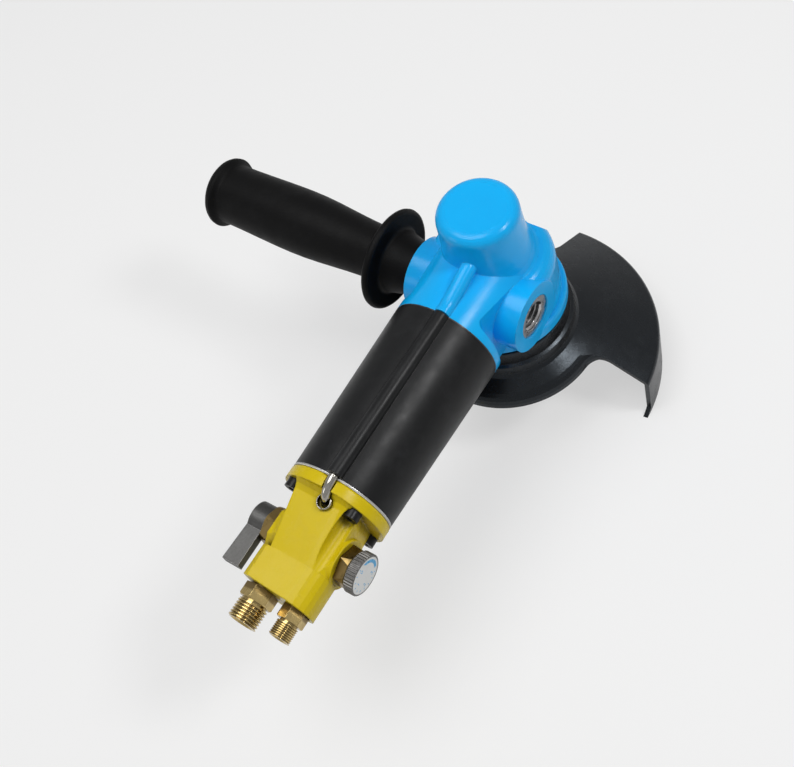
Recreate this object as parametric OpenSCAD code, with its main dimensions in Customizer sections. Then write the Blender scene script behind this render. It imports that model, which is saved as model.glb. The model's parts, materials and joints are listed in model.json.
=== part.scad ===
// Air polisher with central water feed: angle head, vane motor, rotary valves, side handle
// and splash guard. Millimetres. +X points out of the front of the head, +Y to the side
// handle, +Z up. The origin is on the spindle axis, in the plane where the pad seats.

/* [Layout] */
// Height of the motor axis above the pad seat
axis_z = 55; // [53:0.5:58]
// Spindle axis to the joint between head and sleeve
head_joint = 41.3; // [40:0.1:44]
// Length of the rubber sleeve
sleeve_len = 83.9; // [80:0.1:92]
// Sideways offset of the water tube and its ridge, to the right of the motor axis
tube_offset = 3.8; // [0:0.1:5]

/* [Head] */
// Radius of the head where it meets the sleeve
head_r = 25.6; // [25.2:0.1:28]
// Wall of the moulded head cover
cover_wall = 2.8; // [2:0.1:3.2]
// Radius of the flat cap at its top
cap_r = 18.3; // [17.8:0.1:20]
// Radius where the cap's flare runs into the shoulder
cap_base_r = 22.4; // [21.5:0.1:23.5]
// Height of the cap above the motor axis
cap_top = 46; // [45:0.5:50]
// Rounding of the cap's top edge
cap_round = 5; // [3:0.5:7]
// Radius of the shoulder round the spindle
shoulder_r = 28.9; // [28:0.1:31]
// Height of the shoulder's top face above the motor axis
shoulder_top = 14; // [12:0.5:16]
// Height of the shoulder's rounding
shoulder_round = 8; // [6:0.5:9]
// Distance from the crossing of the axes to the flat facet on the front of the shoulder
facet_reach = 25; // [24.5:0.1:27]
// Tilt of that facet back from the vertical, degrees
facet_tilt = 30; // [25:1:32]
// Radius of the lower ring of the head
lower_ring_r = 31.4; // [30.5:0.1:33]
// Underside of the head cover below the motor axis
head_bottom = 22; // [21:0.5:24]
// Height of the lower ring
lower_ring_h = 6.5; // [4:0.5:8]
// Radius of the round bosses that take the side handle
boss_r = 16.8; // [15:0.1:18]
// Spindle axis to the end face of a boss
boss_reach = 29.3; // [28.5:0.1:31]
// Spindle axis back to the axis of the bosses
boss_back = 13.2; // [11:0.1:15]
// Boss axis below the motor axis
boss_drop = 1.2; // [0:0.1:2]
// Joint with the sleeve to the start of the side flats
flat_start = 4.6; // [4.4:0.1:6]
// Half width of the head between its side flats at the sleeve end
flat_rear = 17; // [16:0.5:19]
// Half width of the head between its side flats at the boss
flat_front = 20; // [19.5:0.5:22]

/* [Handle thread] */
// Radius of the handle thread, M14
handle_thread_r = 7; // [5:0.5:8]
// Radius of the bare metal face round the handle thread
handle_seat_r = 10.3; // [9.5:0.1:12]
// Depth of the handle thread
handle_thread_len = 9; // [6:0.5:9]
// How far the metal face lies inside the cover
seat_recess = 0.8; // [0.4:0.1:1.5]

/* [Side handle] */
// Radius of the hand guard disc
disc_r = 24.3; // [20:0.1:28]
// Thickness of the hand guard disc
disc_t = 4; // [3:0.5:6]
// Length of the neck between head and disc
neck_len = 15; // [12:0.5:20]
// Radius of the neck at the head
neck_r = 11.6; // [11:0.1:13]
// Grip radius beside the disc
grip_r0 = 12.9; // [12:0.1:14]
// Grip radius at its middle
grip_r1 = 15.7; // [14:0.1:18]
// Grip radius at the end waist
grip_r2 = 14.8; // [13:0.1:16]
// Radius of the end bulb
bulb_r = 17.4; // [16:0.1:20]
// Length of the whole handle from the head
handle_len = 121; // [100:0.5:140]
// Length of the end bulb with its flare
bulb_len = 8.5; // [7:0.5:12]
// How deep the end screw's head lies in the grip
end_screw_depth = 14; // [10:0.5:16]
// Radius of the steel core
core_r = 6; // [4:0.5:6.5]

/* [Spindle and gears] */
// Pad thread radius, M14
spindle_thread_r = 7; // [6:0.1:8]
// Pad thread length
spindle_thread_len = 18; // [14:0.5:22]
// Radius of the water bore in the spindle
water_bore_r = 3; // [2:0.1:3.4]
// Radius of the flange that the pad seats on
pad_flange_r = 11; // [9:0.5:11.5]
// Teeth of the bevel gear on the spindle
gear_teeth = 30; // [30:1:30]
// Teeth of the bevel pinion on the rotor
pinion_teeth = 12; // [12:1:12]
// Tooth module at the large end
tooth_module = 1.25; // [1.2:0.01:1.26]
// Face width of the teeth
face_w = 6.5; // [5:0.1:7]
// Backlash taken off each tooth's thickness
backlash = 0.24; // [0.2:0.01:0.4]

/* [Bearings] */
// Lower spindle bearing, outer radius
lower_bearing_ro = 17.5; // [17:0.1:18]
// Lower spindle bearing, bore radius
lower_bearing_ri = 8.5; // [8.5:0.1:9]
// Lower spindle bearing, width
lower_bearing_w = 10; // [8:0.5:10]
// Upper spindle and front rotor bearings, outer radius
upper_bearing_ro = 14; // [13.8:0.1:14.2]
// Upper spindle and front rotor bearings, bore radius
upper_bearing_ri = 6; // [5.8:0.1:6.4]
// Upper spindle and front rotor bearings, width
upper_bearing_w = 8; // [7:0.5:8]
// Rear rotor bearing, outer radius
rear_bearing_ro = 13; // [12.5:0.1:14]
// Rear rotor bearing, bore radius
rear_bearing_ri = 5; // [4.8:0.1:5.5]
// Rear rotor bearing, width
rear_bearing_w = 8; // [7:0.5:8]

/* [Motor] */
// Outer radius of the motor housing
housing_r = 22.2; // [22:0.1:22.4]
// Thickness of the bright rims at both ends of the sleeve
rim_t = 0.4; // [0.3:0.1:1]
// Outer radius of the rubber sleeve at the tail
sleeve_tail_r = 24; // [23.6:0.1:25]
// Outer radius of the motor cylinder
cylinder_ro = 17.2; // [16.5:0.1:17.4]
// Bore radius of the motor cylinder
cylinder_ri = 14.2; // [14:0.1:14.6]
// Rotor axis to cylinder axis
eccentricity = 1.2; // [0.6:0.1:1.3]
// Length of the motor cylinder
cylinder_len = 45; // [38:0.5:48]
// Radius of the rotor
rotor_r = 12.8; // [12:0.1:12.9]
// Number of vanes
vane_count = 5; // [4:1:6]
// Thickness of a vane
vane_t = 2; // [1.5:0.1:2.5]
// Depth of a vane slot
vane_depth = 6.6; // [5:0.1:7]
// Thickness of the end plates
plate_t = 10; // [9.5:0.5:11]

/* [Valve housing] */
// Thickness of the valve housing's flange
flange_t = 5.5; // [5:0.5:7]
// Flange radius
flange_r = 24.2; // [23.8:0.1:25]
// Sleeve joint back to the rear face of the valve housing
tail_len = 49.8; // [48:0.1:53]
// Length of the wide block at the rear
block_len = 15.5; // [13:0.5:17]
// Motor axis to the block's left side
block_left = 14; // [13.2:0.1:14.4]
// Motor axis to the block's right side
block_right = 19; // [18.5:0.1:20.5]
// Height of the block's flat top above the motor axis
block_top = 10.4; // [10:0.1:12]
// Slant of the block's rear face, degrees
block_skew = 3; // [0:0.5:4]
// Height of the neck's flat top at the flange
neck_top = 18.5; // [16:0.1:19]
// Length of the hollow curve between the neck and the flange's rim
neck_fillet = 4; // [3:0.5:5]
// Radius from the motor axis to the flange screws
screw_pcr = 19.7; // [19.5:0.1:19.9]
// Angle of the flange screws above and below the sides
screw_angle = 41; // [34:1:43]
// Flange screw thread radius, M4
screw_r = 2; // [1.5:0.1:2]
// Flange screw head radius
screw_head_r = 3.5; // [3:0.1:3.6]
// Flange screw head height
screw_head_h = 4; // [3:0.5:4]

/* [Valves] */
// Sleeve joint back to the axis of both valves
valve_back = 24.4; // [24:0.1:26]
// Hexagon of the brass glands, across flats
gland_af = 16; // [15:0.5:17]
// Thickness of the gland hexagons
gland_t = 4.5; // [3.5:0.5:5]
// Radius of the valve stems
stem_r = 3.5; // [3:0.1:4]
// Radius of the throttle plug
throttle_r = 6; // [5.5:0.1:6.2]
// Lever length from its axis to its tip
lever_len = 22.6; // [20:0.1:30]
// Lever hub radius
lever_hub_r = 7.5; // [6.5:0.5:9]
// Lever width along its axis
lever_w = 7.4; // [6:0.1:9]
// Lever thickness
lever_t = 5; // [4:0.5:6]
// Radius of the water knob
knob_r = 9.3; // [8:0.1:11]
// Thickness of the water knob
knob_t = 5; // [4:0.5:7]
// Number of knurls round the knob
knurl_count = 40; // [24:1:60]

/* [Inlet fittings] */
// Air thread radius, G 1/4
air_thread_r = 6.58; // [6:0.01:7]
// Water thread radius, G 1/8
water_thread_r = 4.86; // [4.2:0.01:5.2]
// Distance between the two fittings
fitting_pitch = 17.8; // [17:0.1:20]
// Air fitting to the motor axis, to the left
air_offset = 6.3; // [5.5:0.1:7]
// Length of the air thread
air_thread_len = 9.5; // [8:0.5:12]
// Length of the water thread
water_thread_len = 7.5; // [6:0.5:10]
// Thickness of the fittings' hexagons
fitting_hex_t = 6; // [4:0.5:8]
// Air hexagon across flats
air_hex_af = 13.2; // [13.2:0.1:15]
// Water hexagon across flats
water_hex_af = 10.6; // [10:0.1:12]

/* [Water tube] */
// Outer radius of the water tube
tube_r = 2; // [1.5:0.1:2.2]
// Wall of the water tube
tube_wall = 0.7; // [0.4:0.1:1]
// Rubber over the tube
ridge_wall = 1.6; // [1.2:0.1:2]
// Radius of the tube's bend at the valve housing
tube_bend_r = 8.5; // [7:0.5:9]
// Slope of the tube and its ridge on top of the head, degrees
tube_slope = 12.5; // [8:0.5:14]

/* [Splash guard] */
// Radius of the guard's collar
collar_r = 31.2; // [30.8:0.1:32]
// Height of the guard's collar
collar_h = 8.5; // [7:0.5:10]
// Edge radius of the short skirt
skirt_r = 44.3; // [42:0.1:50]
// Skirt edge below the motor axis
skirt_drop = 49.3; // [48:0.1:51]
// Radius of the enlarged sector
sector_r = 70.8; // [62:0.1:80]
// Sector edge below the motor axis
sector_drop = 61.5; // [58:0.1:64]
// Height of the sector's downturned rim
rim_h = 25.5; // [16:0.5:28]
// Angle that the sector covers
sector_angle = 86; // [70:1:120]
// Direction of the sector's middle, to the right of straight ahead
guard_turn = 42; // [0:1:60]
// Radius in plan of the hollow corners between skirt and sector
corner_r = 9.5; // [6:0.5:10.5]
// Bend of the skirt down to its edge
skirt_bend = 8; // [5:0.5:9]
// Bend of the sector down to its rim
rim_bend = 3; // [2.6:0.1:4]
// How far the rim's lower corners run out
rim_point = 4.6; // [3:0.1:6]
// Wall of the guard
guard_t = 2.2; // [1.8:0.1:2.5]

/* [Fits] */
// Running clearance of shafts in bearings and bushes
run_gap = 0.05; // [0.03:0.01:0.08]
// Clearance of fixed pieces that slip into each other
slip_gap = 0.04; // [0.02:0.01:0.08]
// Clearance between moving pieces that don't touch
free_gap = 0.3; // [0.25:0.05:0.4]

/* [Hidden] */
$fn = 72;
small = 0.01;

tail_joint = head_joint + sleeve_len;
tail_end = tail_joint + tail_len;
valve_x = -(tail_joint + valve_back);
gap_in_cover = 0.1;

// Bevel gear geometry: both pitch cones share one apex, at the crossing of the two axes.
gear_pitch_r = tooth_module * gear_teeth / 2;
pinion_pitch_r = tooth_module * pinion_teeth / 2;
cone_len = sqrt(pow(gear_pitch_r, 2) + pow(pinion_pitch_r, 2));
gear_cone = atan(gear_teeth / pinion_teeth);
pinion_cone = 90 - gear_cone;
tooth_scale = (cone_len - face_w) / cone_len;
pressure_angle = 20;
tooth_head = 0.9 * tooth_module;
tooth_foot = 1.25 * tooth_module;
gear_tip_r = gear_pitch_r + tooth_head * cos(gear_cone);
pinion_tip_r = pinion_pitch_r + tooth_head * cos(pinion_cone);

// Heights on the spindle axis, measured from the motor axis.
gear_back = pinion_pitch_r + 8.5;
gear_spacer = 11;
lower_bearing_top = -(gear_back + gear_spacer);
lower_bearing_bottom = lower_bearing_top - lower_bearing_w;
upper_bearing_drop = 6.8;
upper_bearing_bottom = gear_tip_r - upper_bearing_drop;
upper_bearing_top = upper_bearing_bottom + upper_bearing_w;
gear_chamber_r = gear_tip_r + 1.2;
chamber_top = -2;
cap_seat_drop = 4.6;
neck_bottom = lower_bearing_bottom - cap_seat_drop;
bearing_cap_t = 5;
seal_w = 6;
inner_seal_ro = pad_flange_r + 2.6;
housing_neck_r = collar_r - guard_t - 2.2;
collar_inner_r = housing_neck_r + run_gap;
water_seal_w = 4.6;
spindle_end = upper_bearing_top + water_seal_w + 0.4;
plug_bottom = spindle_end + 0.3;
plug_top = cap_top - cover_wall - gap_in_cover;
plug_r = cap_r - cover_wall - 3.4;

// Stations on the motor axis.
spigot_len = flat_start - 2;
lip_front = -(head_joint - spigot_len);
plate_front = lip_front - 2.5;
cylinder_front = plate_front - plate_t;
cylinder_rear = cylinder_front - cylinder_len;
plate_rear = cylinder_rear - plate_t;
front_bearing_x = plate_front - upper_bearing_w;
rear_bearing_x = plate_rear;
spigot_r = housing_r - 1.7;
rotor_front = cylinder_front - free_gap;
rotor_rear = cylinder_rear + free_gap;
shaft_nose = -(cone_len * cos(pinion_cone) + 2.2);
pinion_shaft_r = upper_bearing_ri - 1.4;
port_angle = 35;
port_pcr = cylinder_ro - 0.6;
port_r = 1.5;

// Water tube route.
tube_z = sqrt(pow(housing_r, 2) - pow(tube_offset, 2)) + tube_r + 0.35;
tube_y = -tube_offset;
ridge_r = tube_r + ridge_wall;
tube_rise_x = -(head_joint - 3.5);
rise_bend_r = 14;
tube_in_x = -plug_r + 3.5;
slope_x = tube_rise_x + rise_bend_r * sin(tube_slope);
slope_z = tube_z + rise_bend_r * (1 - cos(tube_slope));
tube_in_z = slope_z + (tube_in_x - slope_x) * tan(tube_slope);
bend_angle = 78;
bend_more = 0.04;
bend_lap = 0.3;
bend_x = -(tail_joint + 0.5);

// Valves and fittings.
gland_left_y = block_left + 1.1;
gland_right_y = -(block_right - 0.3);
lever_y = gland_left_y + gland_t + free_gap;
knob_y = gland_right_y - gland_t - free_gap;
water_plug_r = throttle_r - 1.5;
air_y = air_offset;
water_y = air_offset - fitting_pitch;
spigot_front = plate_rear;
valve_spigot_r = cylinder_ro - slip_gap;

// Side handle.
end_screw_r = 2;
end_screw_head_r = 4;
core_end = handle_len - end_screw_depth - 11.5;
end_screw_len = end_screw_depth + 10;

// Guard heights below the motor axis.
collar_top = -(head_bottom + 1.2);
collar_bottom = collar_top - collar_h;
skirt_foot_z = collar_bottom - 6.8;
foot_r = collar_r + 3.4;
slope = atan((sector_drop + skirt_foot_z) / (sector_r - foot_r));

// Turns and moves a shape drawn along +Z so that it runs along +X from x on the motor axis.
module on_motor_axis(x) {
  translate([x, 0, axis_z]) rotate([0, 90, 0]) children();
}

// The same along +Y, from a point given from the motor axis.
module along_y(x, y, z) {
  translate([x, y, axis_z + z]) rotate([-90, 0, 0]) children();
}

module on_spindle_axis(z) {
  translate([0, 0, axis_z + z]) children();
}

// Round bar on the motor axis from x0 to x1.
module bar_x(x0, x1, r) {
  on_motor_axis(x0) cylinder(h = x1 - x0, r = r);
}

module ring_x(x0, x1, ro, ri) {
  on_motor_axis(x0) difference() {
    cylinder(h = x1 - x0, r = ro);
    translate([0, 0, -1]) cylinder(h = x1 - x0 + 2, r = ri);
  }
}

module ring_z(z0, z1, ro, ri) {
  on_spindle_axis(z0) difference() {
    cylinder(h = z1 - z0, r = ro);
    translate([0, 0, -1]) cylinder(h = z1 - z0 + 2, r = ri);
  }
}

// Round bar on the water tube's route with any radius, for the tube and the space round it.
// The bends are a touch thicker than the straights, which run a little way into them.
module tube_route(r, more = 0) {
  front_slope(r, (tube_in_x - slope_x) / cos(tube_slope) + more);
  translate([bend_x, tube_y, axis_z + tube_z]) {
    translate([-bend_lap, 0, 0]) rotate([0, 90, 0])
      cylinder(h = tube_rise_x - bend_x + 2 * bend_lap, r = r);
    translate([0, 0, -tube_bend_r]) rotate([90, 0, 0]) rotate([0, 0, 90])
      rotate_extrude(angle = bend_angle) translate([tube_bend_r, 0]) circle(r = r + bend_more);
    translate([-tube_bend_r * sin(bend_angle), 0, -tube_bend_r * (1 - cos(bend_angle))])
      rotate([0, -90 - bend_angle, 0]) translate([0, 0, -bend_lap])
        cylinder(h = 6 + more + bend_lap, r = r);
  }
}

// Bend and sloping front part of the tube's route, with a given length of slope.
module front_slope(r, len) {
  translate([tube_rise_x, tube_y, axis_z + tube_z + rise_bend_r]) rotate([90, 0, 0])
    rotate([0, 0, -90]) rotate_extrude(angle = tube_slope) translate([rise_bend_r, 0])
      circle(r = r + bend_more);
  translate([slope_x, tube_y, axis_z + slope_z]) rotate([0, 90 - tube_slope, 0])
    translate([0, 0, -bend_lap]) cylinder(h = len + bend_lap, r = r);
}

// Straight open channel for the tube along the motor housing.
module tube_channel(x0, x1) {
  r = tube_r + gap_in_cover;
  translate([x0, tube_y, axis_z + tube_z]) rotate([0, 90, 0]) cylinder(h = x1 - x0, r = r);
  translate([x0, tube_y - r, axis_z + housing_r - 3]) cube([x1 - x0, 2 * r, tube_z - housing_r + 3]);
}

// Outline of the shoulder as revolved about the spindle axis, set in by a wall.
module shoulder_profile(inset) {
  r = shoulder_r - inset;
  top = shoulder_top - inset;
  round_w = shoulder_r - cap_base_r - 0.4 - inset;
  round_h = shoulder_round - inset;
  polygon(concat([[0, -head_bottom], [r, -head_bottom]],
    [for (a = [0:15:90]) [r - round_w * (1 - cos(a)), top - round_h * (1 - sin(a))]], [[0, top]]));
}

// Outline of the cap, whose side flares out to the shoulder.
module cap_profile(inset) {
  top = cap_top - inset;
  r = cap_r - inset;
  foot_w = cap_base_r - cap_r;
  foot_z = shoulder_top - inset - 0.05;
  flare_h = cap_top - cap_round - shoulder_top;
  round_cap = max(cap_round - inset, 1);
  polygon(concat([[0, 0], [r, 0]],
    [for (a = [0:15:75]) [r + foot_w * (1 - sin(a)), foot_z + flare_h * (1 - cos(a))]],
    [for (a = [0:15:90]) [r - round_cap * (1 - cos(a)), top - round_cap * (1 - sin(a))]],
    [[0, top]]));
}

// Solid form of the head: barrel end, side flats, shoulder, cap and the two handle bosses.
module head_form(inset) {
  difference() {
    bar_x(-head_joint, 0, head_r - inset);
    for (side = [0, 1]) mirror([0, side, 0]) head_side_flat(inset);
    on_spindle_axis(-head_bottom - 20) cylinder(h = 20 + inset, r = lower_ring_r + 0.8 + inset);
  }
  on_spindle_axis(0) difference() {
    rotate_extrude() shoulder_profile(inset);
    rotate([0, -facet_tilt, 0]) translate([facet_reach - inset, -2 * shoulder_r, -2 * shoulder_r])
      cube([2 * shoulder_r, 4 * shoulder_r, 4 * shoulder_r]);
  }
  on_spindle_axis(0) rotate_extrude() cap_profile(inset);
  along_y(-boss_back, -boss_reach + inset, -boss_drop)
    cylinder(h = 2 * (boss_reach - inset), r = boss_r - inset);
}

// Space outside the left side flat, with a round corner towards the sleeve.
module head_side_flat(inset) {
  turn = atan((flat_front - flat_rear) / (head_joint - boss_back - flat_start));
  corner = 3 + inset;
  translate([-head_joint + flat_start - 0.3 * inset, flat_rear - inset, 0]) rotate([0, 0, turn])
    linear_extrude(height = 2 * axis_z) {
      translate([corner, 0]) square([head_joint + 10, 20]);
      translate([0, corner]) square([head_joint + 10, 20]);
      translate([corner, corner]) circle(r = corner);
    }
}

module head_cover() {
  color("deepskyblue") difference() {
    union() {
      head_form(0);
      on_spindle_axis(-head_bottom) rotate_extrude() polygon(concat(
        [[0, 0], [lower_ring_r - 0.8, 0], [lower_ring_r, 0.8]],
        [for (a = [0:30:90]) [lower_ring_r - 1.5 * (1 - cos(a)),
          lower_ring_h - 1.5 * (1 - sin(a))]],
        [[0, lower_ring_h]]));
      head_ridge();
    }
    head_form(cover_wall);
    on_spindle_axis(-head_bottom - 1)
      cylinder(h = lower_ring_h, r = shoulder_r - cover_wall);
    on_motor_axis(-head_joint - 1) cylinder(h = 2, r = head_r - cover_wall);
    for (side = [-1, 1]) along_y(-boss_back, side * boss_reach, -boss_drop)
      translate([0, 0, -cover_wall - 1])
        cylinder(h = 2 * cover_wall + 2, r = handle_seat_r + gap_in_cover);
    tube_route(tube_r + gap_in_cover);
  }
}

// Half-round ridge that covers the water tube on top of the head.
module head_ridge() {
  len = (-cap_r - slope_x) / cos(tube_slope);
  translate([-head_joint, tube_y, axis_z + tube_z]) rotate([0, 90, 0])
    cylinder(h = tube_rise_x + head_joint, r = ridge_r);
  front_slope(ridge_r, len);
  translate([slope_x, tube_y, axis_z + slope_z]) rotate([0, 90 - tube_slope, 0])
    translate([0, 0, len]) sphere(r = ridge_r - 0.02);
}

module gear_housing() {
  inset = cover_wall + gap_in_cover;
  seat_len = handle_thread_len + 3;
  color("silver") difference() {
    union() {
      head_form(inset);
      for (side = [-1, 1])
        along_y(-boss_back, side > 0 ? boss_reach - seat_recess - seat_len : -boss_reach + seat_recess,
          -boss_drop) cylinder(h = seat_len, r = handle_seat_r);
      ring_z(-head_bottom - 1, -head_bottom + 2, shoulder_r - inset, gear_chamber_r);
      ring_z(neck_bottom, -head_bottom - gap_in_cover, housing_neck_r, gear_chamber_r);
    }
    for (side = [-1, 1])
      along_y(-boss_back, side > 0 ? boss_reach - seat_recess - handle_thread_len :
        -boss_reach + seat_recess - 1, -boss_drop)
        cylinder(h = handle_thread_len + 1, r = handle_thread_r);
    // Bore for gear and bearing cap, then the upper bearing's seat and the water cap's bore.
    on_spindle_axis(neck_bottom - 1) cylinder(h = chamber_top - neck_bottom + 1, r = gear_chamber_r);
    on_spindle_axis(chamber_top - 1)
      cylinder(h = upper_bearing_bottom - 3 - chamber_top + 1, r = upper_bearing_ro + 2.5);
    on_spindle_axis(0) cylinder(h = upper_bearing_top, r = upper_bearing_ro + slip_gap);
    on_spindle_axis(0) cylinder(h = cap_top, r = plug_r + slip_gap);
    // Pinion bore and the seat of the motor housing's spigot.
    bar_x(lip_front - 1, -10, pinion_tip_r + 1);
    bar_x(-head_joint - 1, lip_front, spigot_r + slip_gap);
    tube_route(tube_r + 0.25);
  }
}

// Sealed ball bearing, outer half: ring and both shields.
module bearing_outer(ro, ri, w) {
  shield_r = inner_half_r(ro, ri);
  difference() {
    cylinder(h = w, r = ro);
    translate([0, 0, -1]) cylinder(h = w + 2, r = shield_r);
    translate([0, 0, 1]) cylinder(h = w - 2, r = ri + (ro - ri) * 0.7);
  }
}

// Sealed ball bearing, inner half.
module bearing_inner(ro, ri, w) {
  shield_r = inner_half_r(ro, ri);
  difference() {
    cylinder(h = w, r = shield_r - run_gap);
    translate([0, 0, -1]) cylinder(h = w + 2, r = ri + slip_gap);
  }
}

module lower_bearing_outer() {
  color("gainsboro") on_spindle_axis(lower_bearing_bottom)
    bearing_outer(lower_bearing_ro, lower_bearing_ri, lower_bearing_w);
}

module lower_bearing_inner() {
  color("gainsboro") on_spindle_axis(lower_bearing_bottom)
    bearing_inner(lower_bearing_ro, lower_bearing_ri, lower_bearing_w);
}

module upper_bearing_outer() {
  color("gainsboro") on_spindle_axis(upper_bearing_bottom)
    bearing_outer(upper_bearing_ro, upper_bearing_ri, upper_bearing_w);
}

module upper_bearing_inner() {
  color("gainsboro") on_spindle_axis(upper_bearing_bottom)
    bearing_inner(upper_bearing_ro, upper_bearing_ri, upper_bearing_w);
}

module front_bearing_outer() {
  color("gainsboro") on_motor_axis(front_bearing_x)
    bearing_outer(upper_bearing_ro, upper_bearing_ri, upper_bearing_w);
}

module front_bearing_inner() {
  color("gainsboro") on_motor_axis(front_bearing_x)
    bearing_inner(upper_bearing_ro, upper_bearing_ri, upper_bearing_w);
}

module rear_bearing_outer() {
  color("gainsboro") on_motor_axis(rear_bearing_x)
    bearing_outer(rear_bearing_ro, rear_bearing_ri, rear_bearing_w);
}

module rear_bearing_inner() {
  color("gainsboro") on_motor_axis(rear_bearing_x)
    bearing_inner(rear_bearing_ro, rear_bearing_ri, rear_bearing_w);
}

// Screwed cap that carries the lower bearing and keeps the guard's collar on the neck.
module bearing_cap() {
  lip_r = housing_neck_r + 1.2;
  cap_bottom = neck_bottom - bearing_cap_t;
  color("dimgray") on_spindle_axis(0) difference() {
    rotate_extrude() polygon([
      [pad_flange_r + free_gap, cap_bottom], [lip_r - 0.6, cap_bottom], [lip_r, cap_bottom + 0.6],
      [lip_r, neck_bottom], [gear_chamber_r - slip_gap, neck_bottom],
      [gear_chamber_r - slip_gap, lower_bearing_top],
      [lower_bearing_ro + slip_gap, lower_bearing_top],
      [lower_bearing_ro + slip_gap, lower_bearing_bottom], [inner_seal_ro, lower_bearing_bottom],
      [inner_seal_ro, cap_bottom + 1.6], [pad_flange_r + free_gap, cap_bottom + 1.6]]);
    for (a = [45:90:315]) rotate([0, 0, a]) translate([lip_r - 5, 0, cap_bottom - 1])
      cylinder(h = 4, r = 1.75);
  }
}

// Lip seal between the bearing cap and the spindle's flange.
module spindle_seal() {
  color("black") on_spindle_axis(neck_bottom - bearing_cap_t + 1.65) difference() {
    cylinder(h = seal_w, r = inner_seal_ro - slip_gap);
    translate([0, 0, -1]) cylinder(h = seal_w + 2, r = pad_flange_r + free_gap);
    translate([0, 0, seal_w / 3]) cylinder(h = seal_w * 0.4, r = pad_flange_r + 1.4);
  }
}

// Brass plug over the spindle's end; the water tube feeds it from the side.
module water_cap() {
  color("goldenrod") difference() {
    on_spindle_axis(plug_bottom) cylinder(h = plug_top - plug_bottom, r = plug_r);
    on_spindle_axis(plug_bottom - 1) cylinder(h = tube_in_z + 2 - plug_bottom, r = water_bore_r);
    translate([tube_in_x - 1, tube_y, axis_z + tube_in_z]) rotate([0, 90, 0])
      cylinder(h = -tube_in_x + 1, r = tube_r - tube_wall);
    on_spindle_axis(plug_top - 6.2) difference() {
      cylinder(h = 2, r = plug_r + 1);
      translate([0, 0, -1]) cylinder(h = 4, r = plug_r - 1.7);
    }
    on_spindle_axis(plug_top - 3) cylinder(h = 5, r = 3.5, $fn = 6);
    front_slope(tube_r + slip_gap, (tube_in_x - slope_x) / cos(tube_slope));
  }
}

module cap_o_ring() {
  color("black") on_spindle_axis(plug_top - 5.2) rotate_extrude()
    translate([plug_r - 0.84, 0]) circle(r = 0.84, $fn = 24);
}

// Lip seal between the water cap and the spindle's upper end.
module water_seal() {
  color("black") on_spindle_axis(upper_bearing_top) difference() {
    cylinder(h = water_seal_w, r = plug_r);
    translate([0, 0, -1]) cylinder(h = water_seal_w + 2, r = upper_bearing_ri + free_gap);
    translate([0, 0, -1]) cylinder(h = 2.2, r = upper_bearing_ri + 3.4);
    translate([0, 0, 2.2]) cylinder(h = water_seal_w, r = upper_bearing_ri + 1.6);
  }
}

module water_tube() {
  color("silver") difference() {
    tube_route(tube_r);
    tube_route(tube_r - tube_wall, 0.5);
  }
}

// Chrome ring on the neck's top where the tube goes in.
ferrule_r = tube_r + 1.5;
ferrule_sink = 0.8;
module tube_ferrule() {
  color("gainsboro") difference() {
    ferrule_place() rotate_extrude()
      polygon(concat([[tube_r + 0.9, slip_gap], [ferrule_r, slip_gap]],
        [for (a = [0:22.5:90]) [ferrule_r - 0.6 * (1 - cos(a)), 2.2 + 0.6 * sin(a)]],
        [[tube_r + 0.9, 2.8]]));
    tube_route(tube_r + 0.35, 2);
  }
}

// Seat of the ring, a little below the neck's sloping top.
module ferrule_place() {
  x = bend_x - tube_bend_r * sin(bend_angle) - 0.6;
  translate([x, tube_y, axis_z + neck_top_at(x)]) rotate([0, -neck_slope, 0])
    translate([0, 0, -ferrule_sink]) children();
}

module motor_housing() {
  color("lightgray") difference() {
    union() {
      bar_x(-tail_joint, -head_joint, housing_r);
      bar_x(-head_joint - 1, lip_front, spigot_r);
      bar_x(-tail_joint, -tail_joint + rim_t, sleeve_tail_r + 0.1);
      bar_x(-head_joint - rim_t, -head_joint - slip_gap, head_r - 0.1);
    }
    bar_x(-tail_joint - 1, plate_front, cylinder_ro + slip_gap);
    bar_x(plate_front - 1, 0, upper_bearing_ro - 1.5);
    for (a = screw_angles()) on_motor_axis(-tail_joint - 1) screw_at(a)
      cylinder(h = 13, r = screw_r + slip_gap);
    translate([-tail_joint - 1, tube_y, axis_z + tube_z]) rotate([0, 90, 0])
      cylinder(h = sleeve_len + 2, r = tube_r + 0.25);
  }
}

function screw_angles() = [screw_angle, 180 - screw_angle, 180 + screw_angle,
  360 - screw_angle];

// Angle from +Y towards +Z, seen in the plane across the motor axis.
module screw_at(a) {
  translate([-screw_pcr * sin(a), screw_pcr * cos(a), 0]) children();
}

module rubber_sleeve() {
  len = sleeve_len - 2 * rim_t - 2 * gap_in_cover;
  x0 = -tail_joint + rim_t + gap_in_cover;
  color([0.11, 0.11, 0.12]) difference() {
    union() {
      on_motor_axis(x0) cylinder(h = len, r1 = sleeve_tail_r, r2 = head_r);
      translate([x0, tube_y, axis_z + tube_z]) rotate([0, 90, 0])
        cylinder(h = len, r = ridge_r);
    }
    bar_x(-tail_joint - 1, 0, housing_r + gap_in_cover);
    tube_channel(-tail_joint - 1, 0);
  }
}

// Round channel for air along the motor, on the left for the inlet and the right for exhaust.
module air_channel(side, x0, x1) {
  translate([0, side * port_pcr * sin(port_angle), -port_pcr * cos(port_angle)])
    bar_x(x0, x1, port_r);
}

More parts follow.
